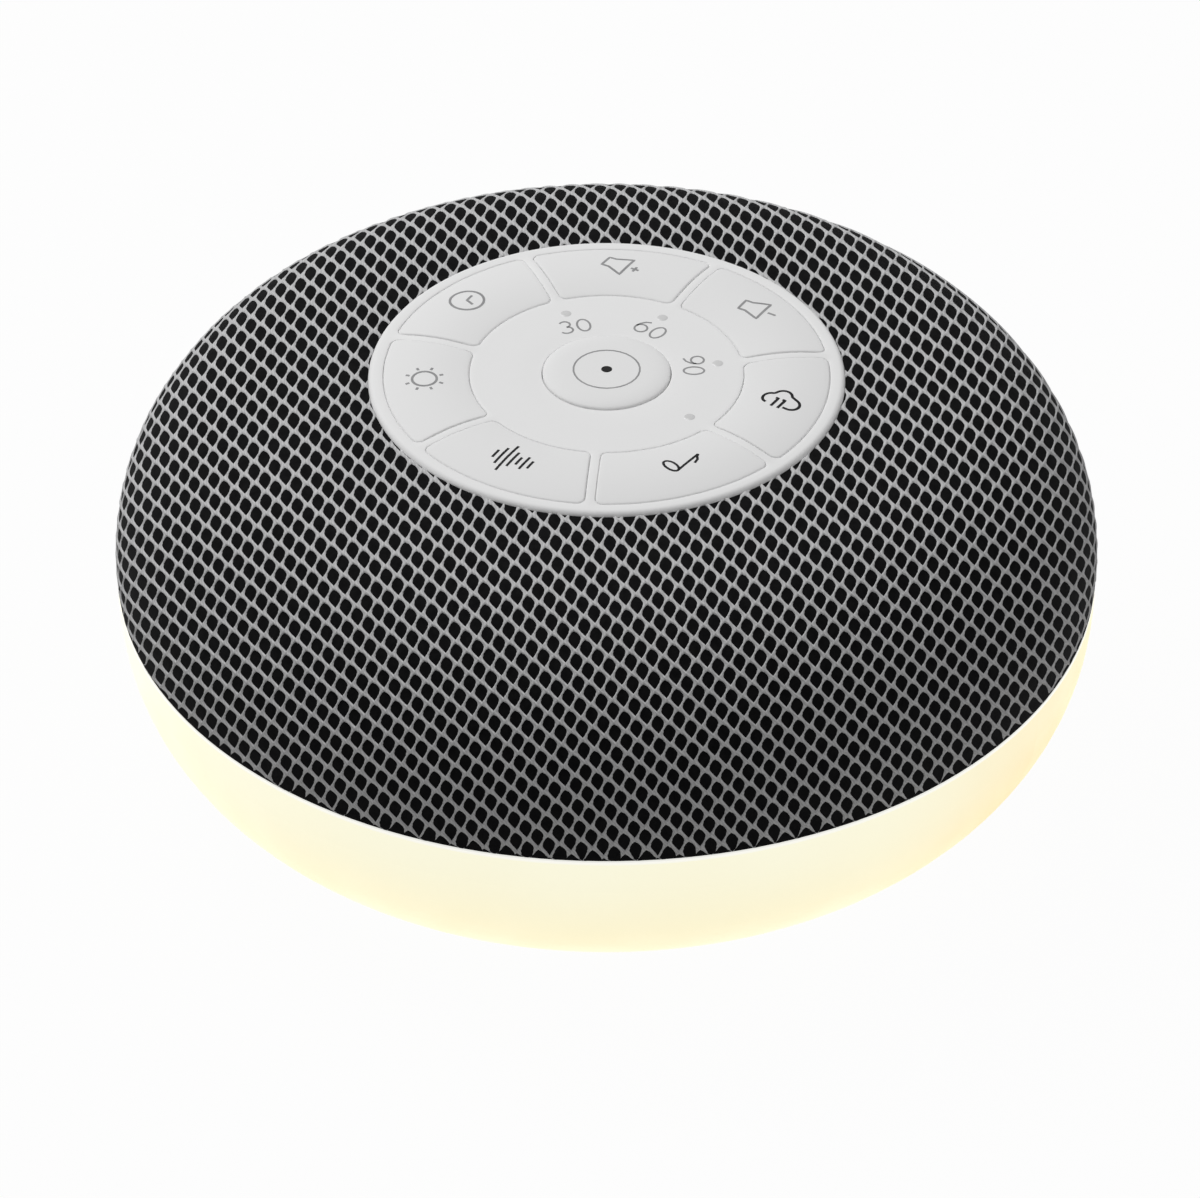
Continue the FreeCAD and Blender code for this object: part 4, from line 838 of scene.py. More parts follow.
@dataclass
class FabricCover:
    """The stretched cover: a black knit with a light net of yarn over it.

    The lattice vectors are the steps from one cell of the net to the next, along right and up
    as seen from the photograph's angle. The hole is the outline of a cell's opening, from its
    top round by the left, with as many points as the cell's border.
    """

    dome: Dome = field(default_factory=Dome)
    lattice_a: Flat = (1.375, 1.875)
    lattice_b: Flat = (-1.637, 1.256)
    hole: tuple[Flat, ...] = (
        (-0.05, 1.17), (-0.42, 0.98), (-0.68, 0.50), (-0.72, 0.0), (-0.57, -0.42), (-0.20, -0.86),
        (0.17, -1.25), (0.46, -0.80), (0.68, -0.30), (0.76, 0.18), (0.64, 0.66), (0.33, 1.03),
    )
    dip: float = 0.07
    net_depth: float = 0.30
    backing_drop: float = 0.20
    hem_drop: float = 0.03
    wall: float = 0.8
    hem: float = 3.0
    hem_rise: float = 0.3
    fold_drop: float = 0.02
    fold_turn: float = 0.1
    sides: int = 160
    runs: int = 44
    slopes: tuple[Flat, ...] = ((0.0, 0.0), (0.5, 0.30), (1.0, 1.0))
    merge: float = 0.01
    reach: int = 46
    half_width: float = 92.0
    half_height: float = 80.0
    ray_count: int = 360
    ray_steps: int = 125
    ray_margin: float = 1.001
    limb_share: float = 0.36
    back_share: float = 0.85
    back_from: float = 0.1
    back_span: float = 0.4
    speck: float = 0.0005

    def backing(self) -> bpy.types.Object:
        """The black knit, from the panel's edge to the hem that is turned in under the shell."""
        outer = self.dome.line(self.backing_drop, self.runs)[:-1]
        outer += self.dome.line(self.hem_drop, self.sides)[-2:]
        inner = self.dome.line(self.wall, self.runs)
        edge, low = outer[-1][0], self.dome.seam - self.fold_drop
        tip = edge - self.hem
        fold = [(edge - self.fold_turn, low), (tip, low), (tip, self.dome.seam + self.hem_rise)]
        mesh = Mesh()
        mesh.turned([*outer, *fold, *reversed(inner), outer[0]], self.sides)
        return mesh.piece("fabric_backing", BACKING_KNIT, HOUSING, "mesh_fabric", "fabric_cover")

    def cell(self) -> bpy.types.Object:
        """One cell of the net: crest of the yarn on its border, falling towards the hole."""
        (ax, ay), (bx, by) = self.lattice_a, self.lattice_b
        corners = [
            ((ax + bx) / 2, (ay + by) / 2), ((bx - ax) / 2, (by - ay) / 2),
            (-(ax + bx) / 2, -(ay + by) / 2), ((ax - bx) / 2, (ay - by) / 2),
        ]
        border = []
        parts = len(self.hole) // 4
        for index, (x, y) in enumerate(corners):
            next_x, next_y = corners[(index + 1) % 4]
            for step in range(parts):
                share = step / parts
                dip = self.dip * math.sin(math.pi * share) * (index % 2 == 0)
                border.append((x + (next_x - x) * share, y + (next_y - y) * share, -dip))
        mesh = Mesh()
        rows = []
        for share, drop in self.slopes:
            rows.append([
                (b[0] + (h[0] - b[0]) * share, b[1] + (h[1] - b[1]) * share,
                 b[2] - drop * self.net_depth)
                for b, h in zip(border, self.hole)
            ])
        mesh.rings(rows)
        return bpy.data.objects.new("net_cell", mesh.data("net_cell"))

    def net_tree(self) -> bpy.types.NodeTree:
        """Node tree that repeats the cell over a flat lattice, within an oval."""
        tree = bpy.data.node_groups.new("knit_net", "GeometryNodeTree")
        face = tree.interface
        for name, kind in (
            ("Cell", "NodeSocketObject"), ("Step A", "NodeSocketVector"),
            ("Step B", "NodeSocketVector"), ("Reach", "NodeSocketInt"),
            ("Half Width", "NodeSocketFloat"), ("Half Height", "NodeSocketFloat"),
            ("Yarn", "NodeSocketMaterial"),
        ):
            face.new_socket(name, in_out="INPUT", socket_type=kind)
        face.new_socket("Geometry", in_out="OUTPUT", socket_type="NodeSocketGeometry")
        nodes = Nodes(tree)
        cell = nodes.add("NodeGroupInput", output="Cell")
        given = {s.name: nodes.again(cell, s.name) for s in cell.socket.node.outputs if s.name}
        count = given["Reach"] * 2.0 + 1.0
        grid = nodes.add(
            "GeometryNodeMeshGrid", None,
            {"Size X": given["Reach"] * 2.0, "Size Y": given["Reach"] * 2.0,
             "Vertices X": count, "Vertices Y": count},
        )
        across, along, _ = nodes.axes(nodes.add("GeometryNodeInputPosition"))
        step_a = nodes.add(
            "ShaderNodeVectorMath", {"operation": "SCALE"}, {0: given["Step A"], "Scale": across})
        step_b = nodes.add(
            "ShaderNodeVectorMath", {"operation": "SCALE"}, {0: given["Step B"], "Scale": along})
        spot = nodes.add("ShaderNodeVectorMath", {"operation": "ADD"}, {0: step_a, 1: step_b})
        lattice = nodes.add("GeometryNodeSetPosition", None, {"Geometry": grid, "Position": spot})
        right, up, _ = nodes.axes(nodes.add("GeometryNodeInputPosition"))
        right, up = right / given["Half Width"], up / given["Half Height"]
        lattice = nodes.add(
            "GeometryNodeDeleteGeometry", {"domain": "POINT"},
            {"Geometry": lattice, "Selection": (right * right + up * up).above(1.0)})
        shape = nodes.add("GeometryNodeObjectInfo", None, {"Object": given["Cell"]}, "Geometry")
        laid = nodes.add("GeometryNodeInstanceOnPoints", None, {"Points": lattice, "Instance": shape})
        laid = nodes.add("GeometryNodeRealizeInstances", None, {"Geometry": laid})
        laid = nodes.add(
            "GeometryNodeMergeByDistance", None, {"Geometry": laid, "Distance": self.merge * MM})
        laid = nodes.add("GeometryNodeSetShadeSmooth", None, {"Geometry": laid})
        laid = nodes.add(
            "GeometryNodeSetMaterial", None, {"Geometry": laid, "Material": given["Yarn"]})
        nodes.add("NodeGroupOutput", None, {"Geometry": laid})
        return tree

    def share(self, facing: float) -> float:
        """Seen length over cloth length where the cloth faces the camera by this cosine.

        Behind the limb it goes over smoothly from the limb share to the back share.
        """
        behind = min(1.0, max(0.0, (-facing - self.back_from) / self.back_span))
        behind *= behind * (3 - 2 * behind)
        return max(facing, self.limb_share + (self.back_share - self.limb_share) * behind)

    def rays(self) -> list[list[Vector]]:
        """Lines on the dome that look straight from the front, from the spot that faces it.

        Each goes on over the limb, where the cloth isn't stretched further than the limb share.
        They are worked out for azimuth nought, and lay() turns them round to the photograph's.

        Returns:
            For each direction in the picture, the line's points one step apart.
        """
        right, up, back = sight(0.0)
        start = self.facing_spot()
        lines = []
        for index in range(self.ray_count):
            turn = math.tau * index / self.ray_count
            way = Vector((math.cos(turn), math.sin(turn)))
            spot, line = start, [start]
            for _ in range(self.ray_steps):
                normal = self.dome.nearest(spot)[1]
                slope = Vector((normal.dot(right), normal.dot(up)))
                sine = slope.length
                slope = slope.normalized() if sine > TINY else way
                facing = normal.dot(back)
                over = way.dot(slope)
                cross = way - slope * over
                seen = right * slope.x + up * slope.y
                move = right * cross.x + up * cross.y
                move += (seen * facing - back * sine) * (over / self.share(facing))
                spot = self.dome.nearest(spot + move)[0]
                line.append(spot)
            lines.append(line)
        return lines

    def facing_spot(self) -> Vector:
        """The spot on the front shoulder that faces the camera."""
        centre = Vector((0.0, -self.dome.shoulder_r, self.dome.shoulder_z))
        return self.dome.nearest(sight(0.0)[2] * self.dome.shoulder + centre)[0]

    def lay(self, net: bpy.types.Object) -> None:
        """Moves the flat net's points on to the dome, trimmed at the panel and the seam."""
        dome, lines = self.dome, self.rays()
        start = self.facing_spot()
        low = start.dot(sight(0.0)[1]) - dome.top * math.cos(ELEVATION)
        cos, sin = math.cos(AZIMUTH), math.sin(AZIMUTH)
        work = bmesh.new()
        work.from_mesh(net.data)
        outside = set()
        for point in work.verts:
            across, along, lift = (c / MM for c in point.co)
            along -= low
            turn = math.atan2(along, across) % math.tau / math.tau * self.ray_count
            reach = min(math.hypot(across, along), self.ray_steps - self.ray_margin)
            ray, step = int(turn), int(reach)
            first, second = lines[ray % self.ray_count], lines[(ray + 1) % self.ray_count]
            near = first[step].lerp(second[step], turn - ray)
            far = first[step + 1].lerp(second[step + 1], turn - ray)
            spot = near.lerp(far, reach - step)
            radius, height, tilt, trimmed = dome.trimmed(spot)
            flat = math.hypot(spot.x, spot.y)
            radius += lift * math.sin(tilt)
            x, y = spot.x / flat * radius, spot.y / flat * radius
            point.co = Vector((x * cos - y * sin, x * sin + y * cos, height + lift * math.cos(tilt))) * MM
            if trimmed:
                outside.add(point)
        gone = [f for f in work.faces if all(v in outside for v in f.verts)]
        bmesh.ops.delete(work, geom=gone, context="FACES")
        bmesh.ops.dissolve_degenerate(work, edges=work.edges, dist=self.speck * MM)
        bmesh.ops.recalc_face_normals(work, faces=work.faces)
        work.to_mesh(net.data)
        work.free()

    def net(self) -> bpy.types.Object:
        """The net of light yarn over the whole dome."""
        inputs = {
            "Cell": self.cell(),
            "Step A": (self.lattice_a[0] * MM, self.lattice_a[1] * MM, 0.0),
            "Step B": (self.lattice_b[0] * MM, self.lattice_b[1] * MM, 0.0),
            "Reach": self.reach,
            "Half Width": self.half_width * MM,
            "Half Height": self.half_height * MM,
            "Yarn": NET_YARN.material(),
        }
        piece = grown("fabric_net", self.net_tree(), inputs)
        self.lay(piece)
        return piece

    def build(self) -> None:
        """Builds both layers and says what they are."""
        backing, net = self.backing(), self.net()
        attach(net, HOUSING)
        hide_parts("fabric_cover")
        report(backing, net)


def grown(name: str, tree: bpy.types.NodeTree, inputs: dict[str, Any]) -> bpy.types.Object:
    """Runs a geometry node tree and keeps its result as a plain mesh.

    Args:
        name: the piece's name.
        tree: the tree.
        inputs: its inputs by name.

    Returns:
        The piece, with no modifier.
    """
    host = linked(name, bpy.data.meshes.new(name))
    modifier = host.modifiers.new("grow", "NODES")
    modifier.node_group = tree
    sockets = {s.name: s.identifier for s in tree.interface.items_tree if s.in_out == "INPUT"}
    for key, value in inputs.items():
        modifier[sockets[key]] = value
    bpy.context.view_layer.update()
    graph = bpy.context.evaluated_depsgraph_get()
    data = bpy.data.meshes.new_from_object(host.evaluated_get(graph))
    host.modifiers.remove(modifier)
    old = host.data
    host.data = data
    data.name = name
    bpy.data.meshes.remove(old)
    return host


def report(*made: bpy.types.Object) -> None:
    """Logs pieces that were made."""
    for piece in made:
        log.info("%s: %d faces", piece.name, len(piece.data.polygons))


# The key panel

class Symbol(Enum):
    """What is printed on a key."""

    BARS = "bars"
    NOTE = "note"
    RAIN = "rain"
    QUIETER = "quieter"
    LOUDER = "louder"
    CLOCK = "clock"
    SUN = "sun"


def oval(x: float, y: float, half_x: float, half_y: float, start: float = 0.0, end: float = 360.0,
         lean: float = 0.0) -> list[Flat]:
    """Points along an oval.

    Args:
        x: its centre.
        y: its centre.
        half_x: half its width.
        half_y: half its height.
        start: where it starts, in degrees.
        end: where it ends, in degrees.
        lean: how far it is turned, in degrees.

    Returns:
        The points.
    """
    steps = max(6, int(abs(end - start) / 12))
    tilt = math.radians(lean)
    points = []
    for index in range(steps + 1):
        turn = math.radians(start + (end - start) * index / steps)
        px, py = half_x * math.cos(turn), half_y * math.sin(turn)
        points.append((x + px * math.cos(tilt) - py * math.sin(tilt),
                       y + px * math.sin(tilt) + py * math.cos(tilt)))
    return points


@dataclass
class Print:
    """Symbols and numbers as thin layers of ink: each is a list of strokes in millimetres."""

    stroke: float = 0.38
    fine_stroke: float = 0.3
    ring_stroke: float = 0.26
    rain_share: float = 1.15
    ink: float = 0.02
    sunk: float = 0.01
    ray_count: int = 8
    ray_turn: float = math.radians(7.5)
    ray_ends: Flat = (2.35, 2.95)

    def bars(self) -> list[list[Flat]]:
        """Seven upright bars of a sound level."""
        heights = (1.95, 4.1, 6.6, 3.7, 1.95, 3.2, 1.9)
        pitch = 0.96
        return [[((k - 3) * pitch, -h / 2), ((k - 3) * pitch, h / 2)] for k, h in enumerate(heights)]

    def note(self) -> list[list[Flat]]:
        """A music note with a small hooked flag."""
        return [
            oval(-0.85, -1.75, 1.45, 0.78, lean=-20.0),
            [(0.52, -2.15), (1.05, 2.75)],
            [(1.05, 2.75), (1.25, 2.1), (1.62, 1.6), (1.72, 0.6)],
        ]

    def rain(self) -> list[list[Flat]]:
        """A cloud, open below, with two hooked strokes of rain."""
        cloud = [
            *oval(-1.75, -0.1, 1.15, 1.2, 262.0, 95.0),
            *oval(-0.30, 0.85, 1.40, 1.60, 160.0, 28.0),
            *oval(1.55, -0.1, 1.35, 1.35, 62.0, -80.0),
        ]
        return [
            cloud,
            [(1.78, -1.43), (0.95, -1.4)],
            [(-1.05, 0.25), (-0.62, 0.28), (-0.72, -1.9)],
            [(0.05, 0.25), (0.48, 0.28), (0.38, -1.9)],
        ]

    def horn(self) -> list[Flat]:
        """Outline of a loudspeaker."""
        return [(-2.4, -1.2), (-2.4, 1.2), (-1.25, 1.2), (1.2, 2.25), (1.2, -2.25), (-1.25, -1.2),
                (-2.4, -1.2)]

    def quieter(self) -> list[list[Flat]]:
        """Loudspeaker with a minus sign."""
        return [self.horn(), [(1.9, 0.0), (3.2, 0.0)]]

    def louder(self) -> list[list[Flat]]:
        """Loudspeaker with a plus sign."""
        return [self.horn(), [(1.9, 0.0), (3.2, 0.0)], [(2.55, -0.65), (2.55, 0.65)]]

    def clock(self) -> list[list[Flat]]:
        """A clock face with two hands."""
        return [oval(0.0, 0.0, 2.52, 2.52), [(0.0, 1.45), (0.0, 0.0), (1.29, -0.54)]]

    def sun(self) -> list[list[Flat]]:
        """A ring with short rays round it."""
        strokes = [oval(0.0, 0.0, 1.8, 1.8)]
        for index in range(self.ray_count):
            turn = math.tau * index / self.ray_count + self.ray_turn
            strokes.append([polar(reach, turn)[:2] for reach in self.ray_ends])
        return strokes

    def digit(self, sign: str) -> list[list[Flat]]:
        """Strokes of one digit, 3 mm tall."""
        six = [oval(0.0, -0.55, 0.95, 0.95), [(-0.94, -0.4), (-0.8, 0.35), (-0.3, 1.1), (0.45, 1.5)]]
        if sign == "6":
            return six
        if sign == "9":
            return [[(-x, -y) for x, y in line] for line in six]
        if sign == "3":
            return [[*oval(0.0, 0.75, 0.78, 0.75, 150.0, -80.0), *oval(0.0, -0.7, 0.92, 0.8, 80.0, -150.0)]]
        return [oval(0.0, 0.0, 0.95, 1.5)]

    def number(self, text: str) -> list[list[Flat]]:
        """Strokes of a two-digit number."""
        pitch = 2.7
        strokes = []
        for index, sign in enumerate(text):
            shift = (index - (len(text) - 1) / 2) * pitch
            strokes += [[(x + shift, y) for x, y in line] for line in self.digit(sign)]
        return strokes

    def strokes(self, symbol: Symbol) -> list[list[Flat]]:
        """Strokes of a key's symbol."""
        return getattr(self, symbol.value)()

    @staticmethod
    def divided(line: Sequence[Flat], longest: float = 0.35) -> list[Flat]:
        """A line with its long runs divided, so that it follows a curved surface."""
        points = [line[0]]
        for first, second in zip(line, line[1:]):
            span = math.dist(first, second)
            if span < TINY:
                continue
            parts = max(1, math.ceil(span / longest))
            for k in range(1, parts + 1):
                share = k / parts
                points.append((first[0] + (second[0] - first[0]) * share,
                               first[1] + (second[1] - first[1]) * share))
        return points

    def corners(self) -> tuple[Flat, ...]:
        """The side and the height of each corner of a stroke's section."""
        return (1, self.ink), (-1, self.ink), (-1, -self.sunk), (1, -self.sunk)

    def ribbon(self, mesh: Mesh, line: Sequence[Flat], spot: Flat, turn: float, height: Any,
               width: float) -> None:
        """Adds one stroke of ink to a mesh.

        Args:
            mesh: what it is added to.
            line: the stroke's points.
            spot: where the symbol's middle lies.
            turn: how far the symbol is turned, in radians.
            height: a function of the radius that gives the surface's height.
            width: the stroke's width.
        """
        points = self.divided(line)
        closed = math.dist(points[0], points[-1]) < TINY
        if closed:
            points = points[:-1]
        rows: list[list[Point]] = [[], [], [], []]
        count = len(points)
        for index, (x, y) in enumerate(points):
            before = points[index - 1] if index or closed else points[index]
            after = points[(index + 1) % count] if index < count - 1 or closed else points[index]
            dx, dy = after[0] - before[0], after[1] - before[1]
            size = math.hypot(dx, dy) or 1.0
            nx, ny = -dy / size * width / 2, dx / size * width / 2
            for row, (side, rise) in enumerate(self.corners()):
                px, py = x + nx * side, y + ny * side
                gx = spot[0] + px * math.cos(turn) - py * math.sin(turn)
                gy = spot[1] + px * math.sin(turn) + py * math.cos(turn)
                rows[row].append((gx, gy, height(math.hypot(gx, gy)) + rise))
        numbered = [mesh.ring(row) for row in rows]
        for first, second in zip(numbered, numbered[1:] + numbered[:1]):
            mesh.strip(first, second, closed)
        if not closed:
            mesh.faces.append(tuple(row[0] for row in numbered))
            mesh.faces.append(tuple(row[-1] for row in reversed(numbered)))


@dataclass
class KeyPanel:
    """Rim, ribs and middle disc with the seven ring keys, the power key and their print."""

    rim_top: float = 65.45
    panel: float = 34.8
    rim_bevel: float = 0.9
    under: float = 63.45
    skirt_low: float = 54.35
    skirt_inner: float = 33.5
    disc_rise: float = 0.2
    crown: float = 0.75
    rib_drop: float = 0.14
    rib_fade: float = 2.0
    key_inner: float = 20.0
    key_outer: float = 32.6
    rib: float = 1.4
    corner: float = 1.15
    key_gap: float = 0.04
    key_roll: float = 0.3
    rib_roll: float = 0.2
    lip_high: float = 63.40
    lip_low: float = 62.65
    lip: float = 0.45
    post: float = 1.5
    post_low: float = 62.0
    post_joint: float = 0.1
    power: float = 9.4
    power_gap: float = 0.1
    power_rise: float = 0.65
    power_roll: float = 3.2
    power_wall: float = 0.6
    power_lip: float = 0.6
    power_ring: float = 4.85
    power_dot: float = 0.8
    power_shares: tuple[float, ...] = (0.75, 0.5, 0.25, 0.0)
    power_steps: int = 8
    rim_steps: int = 6
    disc_steps: int = 5
    power_sides: int = 96
    dot_sides: int = 32
    lens_sides: int = 24
    post_sides: int = 20
    roll_shares: tuple[float, ...] = (0.0, 0.03, 0.12, 0.26, 0.45, 0.7, 1.0)
    cap_insets: tuple[float, ...] = (1.0, 1.6, 2.6, 3.8, 5.0)
    rib_shares: tuple[float, ...] = (0.0, 0.06, 0.2, 0.5, 1.0)
    lens_profile: tuple[Flat, ...] = ((1.0, -0.3), (1.0, 0.0), (0.9, 0.035), (0.5, 0.06), (POLE, 0.07))
    lens_circle: float = 16.4
    lens: float = 0.8
    lens_angles: tuple[float, ...] = (141.4, 90.0, 38.6, -12.9)
    number_circle: float = 12.85
    number_turn: float = math.radians(-8.0)
    icon_circle: float = 26.5
    arc_parts: int = 12
    corner_parts: int = 6
    side_parts: int = 8
    keys: tuple[tuple[str, Symbol, Finish, Flat], ...] = (
        ("white_noise_key", Symbol.BARS, DARK_INK, (-0.4, 0.3)),
        ("music_key", Symbol.NOTE, DARK_INK, (0.2, 2.0)),
        ("nature_key", Symbol.RAIN, DARK_INK, (0.0, 0.0)),
        ("volume_down_key", Symbol.QUIETER, GREY_INK, (-0.3, 0.8)),
        ("volume_up_key", Symbol.LOUDER, GREY_INK, (-0.5, 0.8)),
        ("timer_key", Symbol.CLOCK, GREY_INK, (-1.0, -0.6)),
        ("light_key", Symbol.SUN, GREY_INK, (-1.1, 1.3)),
    )
    printer: Print = field(default_factory=Print)

    @property
    def half(self) -> float:
        """Half the pitch of the keys, in radians."""
        return math.pi / len(self.keys)

    @property
    def disc_top(self) -> float:
        """Top of the middle disc."""
        return self.rim_top + self.disc_rise

    def angle(self, index: int) -> float:
        """Direction of a key, in radians."""
        return -math.pi / 2 + 2 * self.half * index

    def crown_height(self, radius: float) -> float:
        """Height of the pillowed ring of keys, level outside it."""
        if radius >= self.key_outer:
            return self.rim_top
        if radius <= self.key_inner:
            return self.disc_top
        middle = ((self.key_inner + self.key_outer) / 2, self.rim_top + self.crown)
        x, z, reach = arc_heights((self.key_outer, self.rim_top), middle, (self.key_inner, self.disc_top))
        return z + math.sqrt(reach * reach - (radius - x) ** 2)

    def rib_height(self, radius: float) -> float:
        """Height of the panel's own surface between and round the keys."""
        edge = min(radius - self.key_inner, self.key_outer - radius) / self.rib_fade
        share = min(1.0, max(0.0, edge))
        return self.crown_height(radius) - self.rib_drop * share * share * (3 - 2 * share)

    @staticmethod
    def roll(radius: float, depth: float) -> float:
        """How far a rolled edge has dropped at a distance from it."""
        if depth >= radius:
            return 0.0
        return radius - math.sqrt(radius * radius - (radius - depth) ** 2)

    def outline(self, inset: float, sharp: bool = False) -> list[Flat]:
        """Half of a key's outline at a distance inside its window, as (radius, angle) points.

        Args:
            inset: distance inside the window's edge, negative outside it.
            sharp: whether it runs into the corners, as the border between two keys does.

        Returns:
            The points from the outer middle, by the side, to the inner middle.
        """
        reach = max(self.corner, inset)
        bend = max(self.corner - inset, 0.0)
        off = self.rib / 2 + reach
        aside = 0.0 if sharp else off - bend
        outer, inner = self.key_outer - reach, self.key_inner + reach
        turn_out = self.half - math.asin(off / outer)
        turn_in = self.half - math.asin(off / inner)
        out_r, in_r = self.key_outer - inset, self.key_inner + inset
        normal = self.half + math.pi / 2
        side_out, side_in = math.sqrt(outer ** 2 - off ** 2), math.sqrt(inner ** 2 - off ** 2)
        parts, bends, sides = self.arc_parts, self.corner_parts, self.side_parts

        def bent(centre: Flat, start: float, end: float) -> list[Flat]:
            """Points round a corner."""
            found = []
            for k in range(1, bends):
                turn = start + (end - start) * k / bends
                x = centre[0] * math.cos(centre[1]) + bend * math.cos(turn)
                y = centre[0] * math.sin(centre[1]) + bend * math.sin(turn)
                found.append((math.hypot(x, y), math.atan2(y, x)))
            return found

        def squared(radius: float, turn: float, side: float) -> list[Flat]:
            """Points that run into a corner, from the arc to the side."""
            found = []
            for k in range(1, bends):
                share = 2 * k / bends
                if share <= 1:
                    found.append((radius, turn + (self.half - turn) * share))
                else:
                    found.append((radius + (side - radius) * (share - 1), self.half))
            return found

        points = [(out_r, turn_out * k / parts) for k in range(parts + 1)]
        if sharp:
            points += squared(out_r, turn_out, side_out)
            last = squared(in_r, turn_in, side_in)[::-1]
        else:
            points += bent((outer, turn_out), turn_out, normal)
            last = bent((inner, turn_in), normal, turn_in + math.pi)
        for k in range(sides + 1):
            along = side_out + (side_in - side_out) * k / sides
            points.append((math.hypot(along, aside), self.half - math.atan2(aside, along)))
        return points + last + [(in_r, turn_in * (parts - k) / parts) for k in range(parts + 1)]

    def around(self, index: int, inset: float, height: Any, sharp: bool = False) -> list[Point]:
        """A closed outline of one key at its place.

        Args:
            index: the key's number.
            inset: distance inside the window's edge.
            height: a height, or a function of the radius.
            sharp: whether it runs into the corners.

        Returns:
            The outline's points.
        """
        half = self.outline(inset, sharp)
        both = half + [(r, -a) for r, a in reversed(half[1:-1])]
        turn = self.angle(index)
        rise = height if callable(height) else (lambda _: height)
        return [polar(r, a + turn, rise(r)) for r, a in both]

    def ring_key(self, index: int) -> bpy.types.Object:
        """One key of the ring: crowned, with a rolled edge, a lip and a post over its switch."""
        name = self.keys[index][0]
        mesh = Mesh()
        mid = (self.key_outer - self.key_inner) / 2
        rows = [
            self.around(index, mid, self.lip_low),
            self.around(index, -self.lip, self.lip_low),
            self.around(index, -self.lip, self.lip_high),
            self.around(index, self.key_gap, self.lip_high),
        ]
        roll = self.key_roll
        for depth in self.roll_shares:
            inset = self.key_gap + depth * roll
            drop = self.roll(roll, depth * roll)
            rows.append(self.around(index, inset, lambda r, d=drop: self.crown_height(r) - d))
        for inset in (*self.cap_insets, mid):
            rows.append(self.around(index, inset, self.crown_height))
        mesh.rings(rows)
        x, y, _ = polar((self.key_outer + self.key_inner) / 2, self.angle(index))
        low, high = self.post_low, self.lip_low + self.post_joint
        post = [(POLE, low), (self.post, low), (self.post, high), (POLE, high)]
        mesh.turned(post, self.post_sides, (x, y))
        return mesh.piece(name + "_cap", KEY_SHELL, name, "key_plastic", name)

    def power_key(self) -> bpy.types.Object:
        """The raised round key in the middle."""
        top = self.disc_top + self.power_rise
        edge = self.power - self.power_gap / 2
        profile = [(0.0, self.post_low), (self.post, self.post_low), (self.post, self.lip_low),
                   (self.power + self.power_lip, self.lip_low),
                   (self.power + self.power_lip, self.lip_high), (edge, self.lip_high)]
        for inwards, drop in quarter(self.power_steps):
            profile.append((edge - self.power_roll * inwards, top - self.power_wall * drop))
        for share in self.power_shares:
            profile.append((share * (edge - self.power_roll), top + POLE))
        mesh = Mesh()
        mesh.turned(profile, self.power_sides)
        return mesh.piece("power_key_cap", KEY_SHELL, "power_key", "key_plastic", "power_key")

    def deck(self) -> bpy.types.Object:
        """Rim, ribs and disc in one moulding, with a window for each key."""
        mesh = Mesh()
        roll = self.rib_roll
        for index in range(len(self.keys)):
            rows = [self.around(index, -self.rib / 2, self.under, True)]
            rows.append(self.around(index, 0.0, self.under))
            for depth in self.rib_shares:
                drop = self.roll(roll, depth * roll)
                rows.append(self.around(
                    index, -depth * roll, lambda r, d=drop: self.rib_height(r) - d))
            rows.append(self.around(index, -self.rib / 2, self.rib_height, True))
            mesh.rings(rows)
        outer_r, inner_r = self.key_outer + self.rib / 2, self.key_inner - self.rib / 2
        outer, inner = self.border(outer_r), self.border(inner_r)
        rim = [(outer_r, self.under), (self.skirt_inner, self.under), (self.skirt_inner, self.skirt_low),
               (self.panel, self.skirt_low)]
        for inwards, drop in quarter(self.rim_steps):
            rim.append((self.panel - self.rim_bevel * inwards, self.rim_top - self.rim_bevel * drop))
        rim.append((outer_r, self.rim_top))
        mesh.rings([[polar(r, a, z) for a in outer] for r, z in rim])
        hole = self.power + self.power_gap / 2
        disc = [(inner_r, self.disc_top), ((inner_r + hole) / 2, self.disc_top)]
        for drop, outwards in quarter(self.disc_steps):
            disc.append((hole + roll * outwards, self.disc_top - roll * drop))
        disc += [(hole, self.under), (inner_r, self.under)]
        mesh.rings([[polar(r, a, z) for a in inner] for r, z in disc])
        return mesh.piece("key_deck", PANEL_SHELL, HOUSING, "panel_plastic", "control_panel")

    def border(self, radius: float) -> list[float]:
        """Angles of the points that all the keys' cells have on one of their two circles."""
        digits = 9
        half = [a for r, a in self.outline(-self.rib / 2, True) if abs(r - radius) < TINY]
        found = set()
        for index in range(len(self.keys)):
            for turn in (*half, *(-a for a in half)):
                angle = (self.angle(index) + turn) % math.tau
                found.add(round(angle, digits) % round(math.tau, digits))
        ordered = sorted(found)
        return [a for k, a in enumerate(ordered) if a - ordered[k - 1] > TINY or k == 0]

    def lenses(self) -> bpy.types.Object:
        """The four indicator windows, flush in the disc with a slight dome."""
        mesh = Mesh()
        for angle in self.lens_angles:
            x, y, _ = polar(self.lens_circle, math.radians(angle))
            mesh.turned(
                [(self.lens * share, self.disc_top + rise) for share, rise in self.lens_profile],
                self.lens_sides, (x, y))
        return mesh.piece(
            "indicator_windows", LIGHT_PIPE, HOUSING, "lens_plastic", "indicator_lenses")

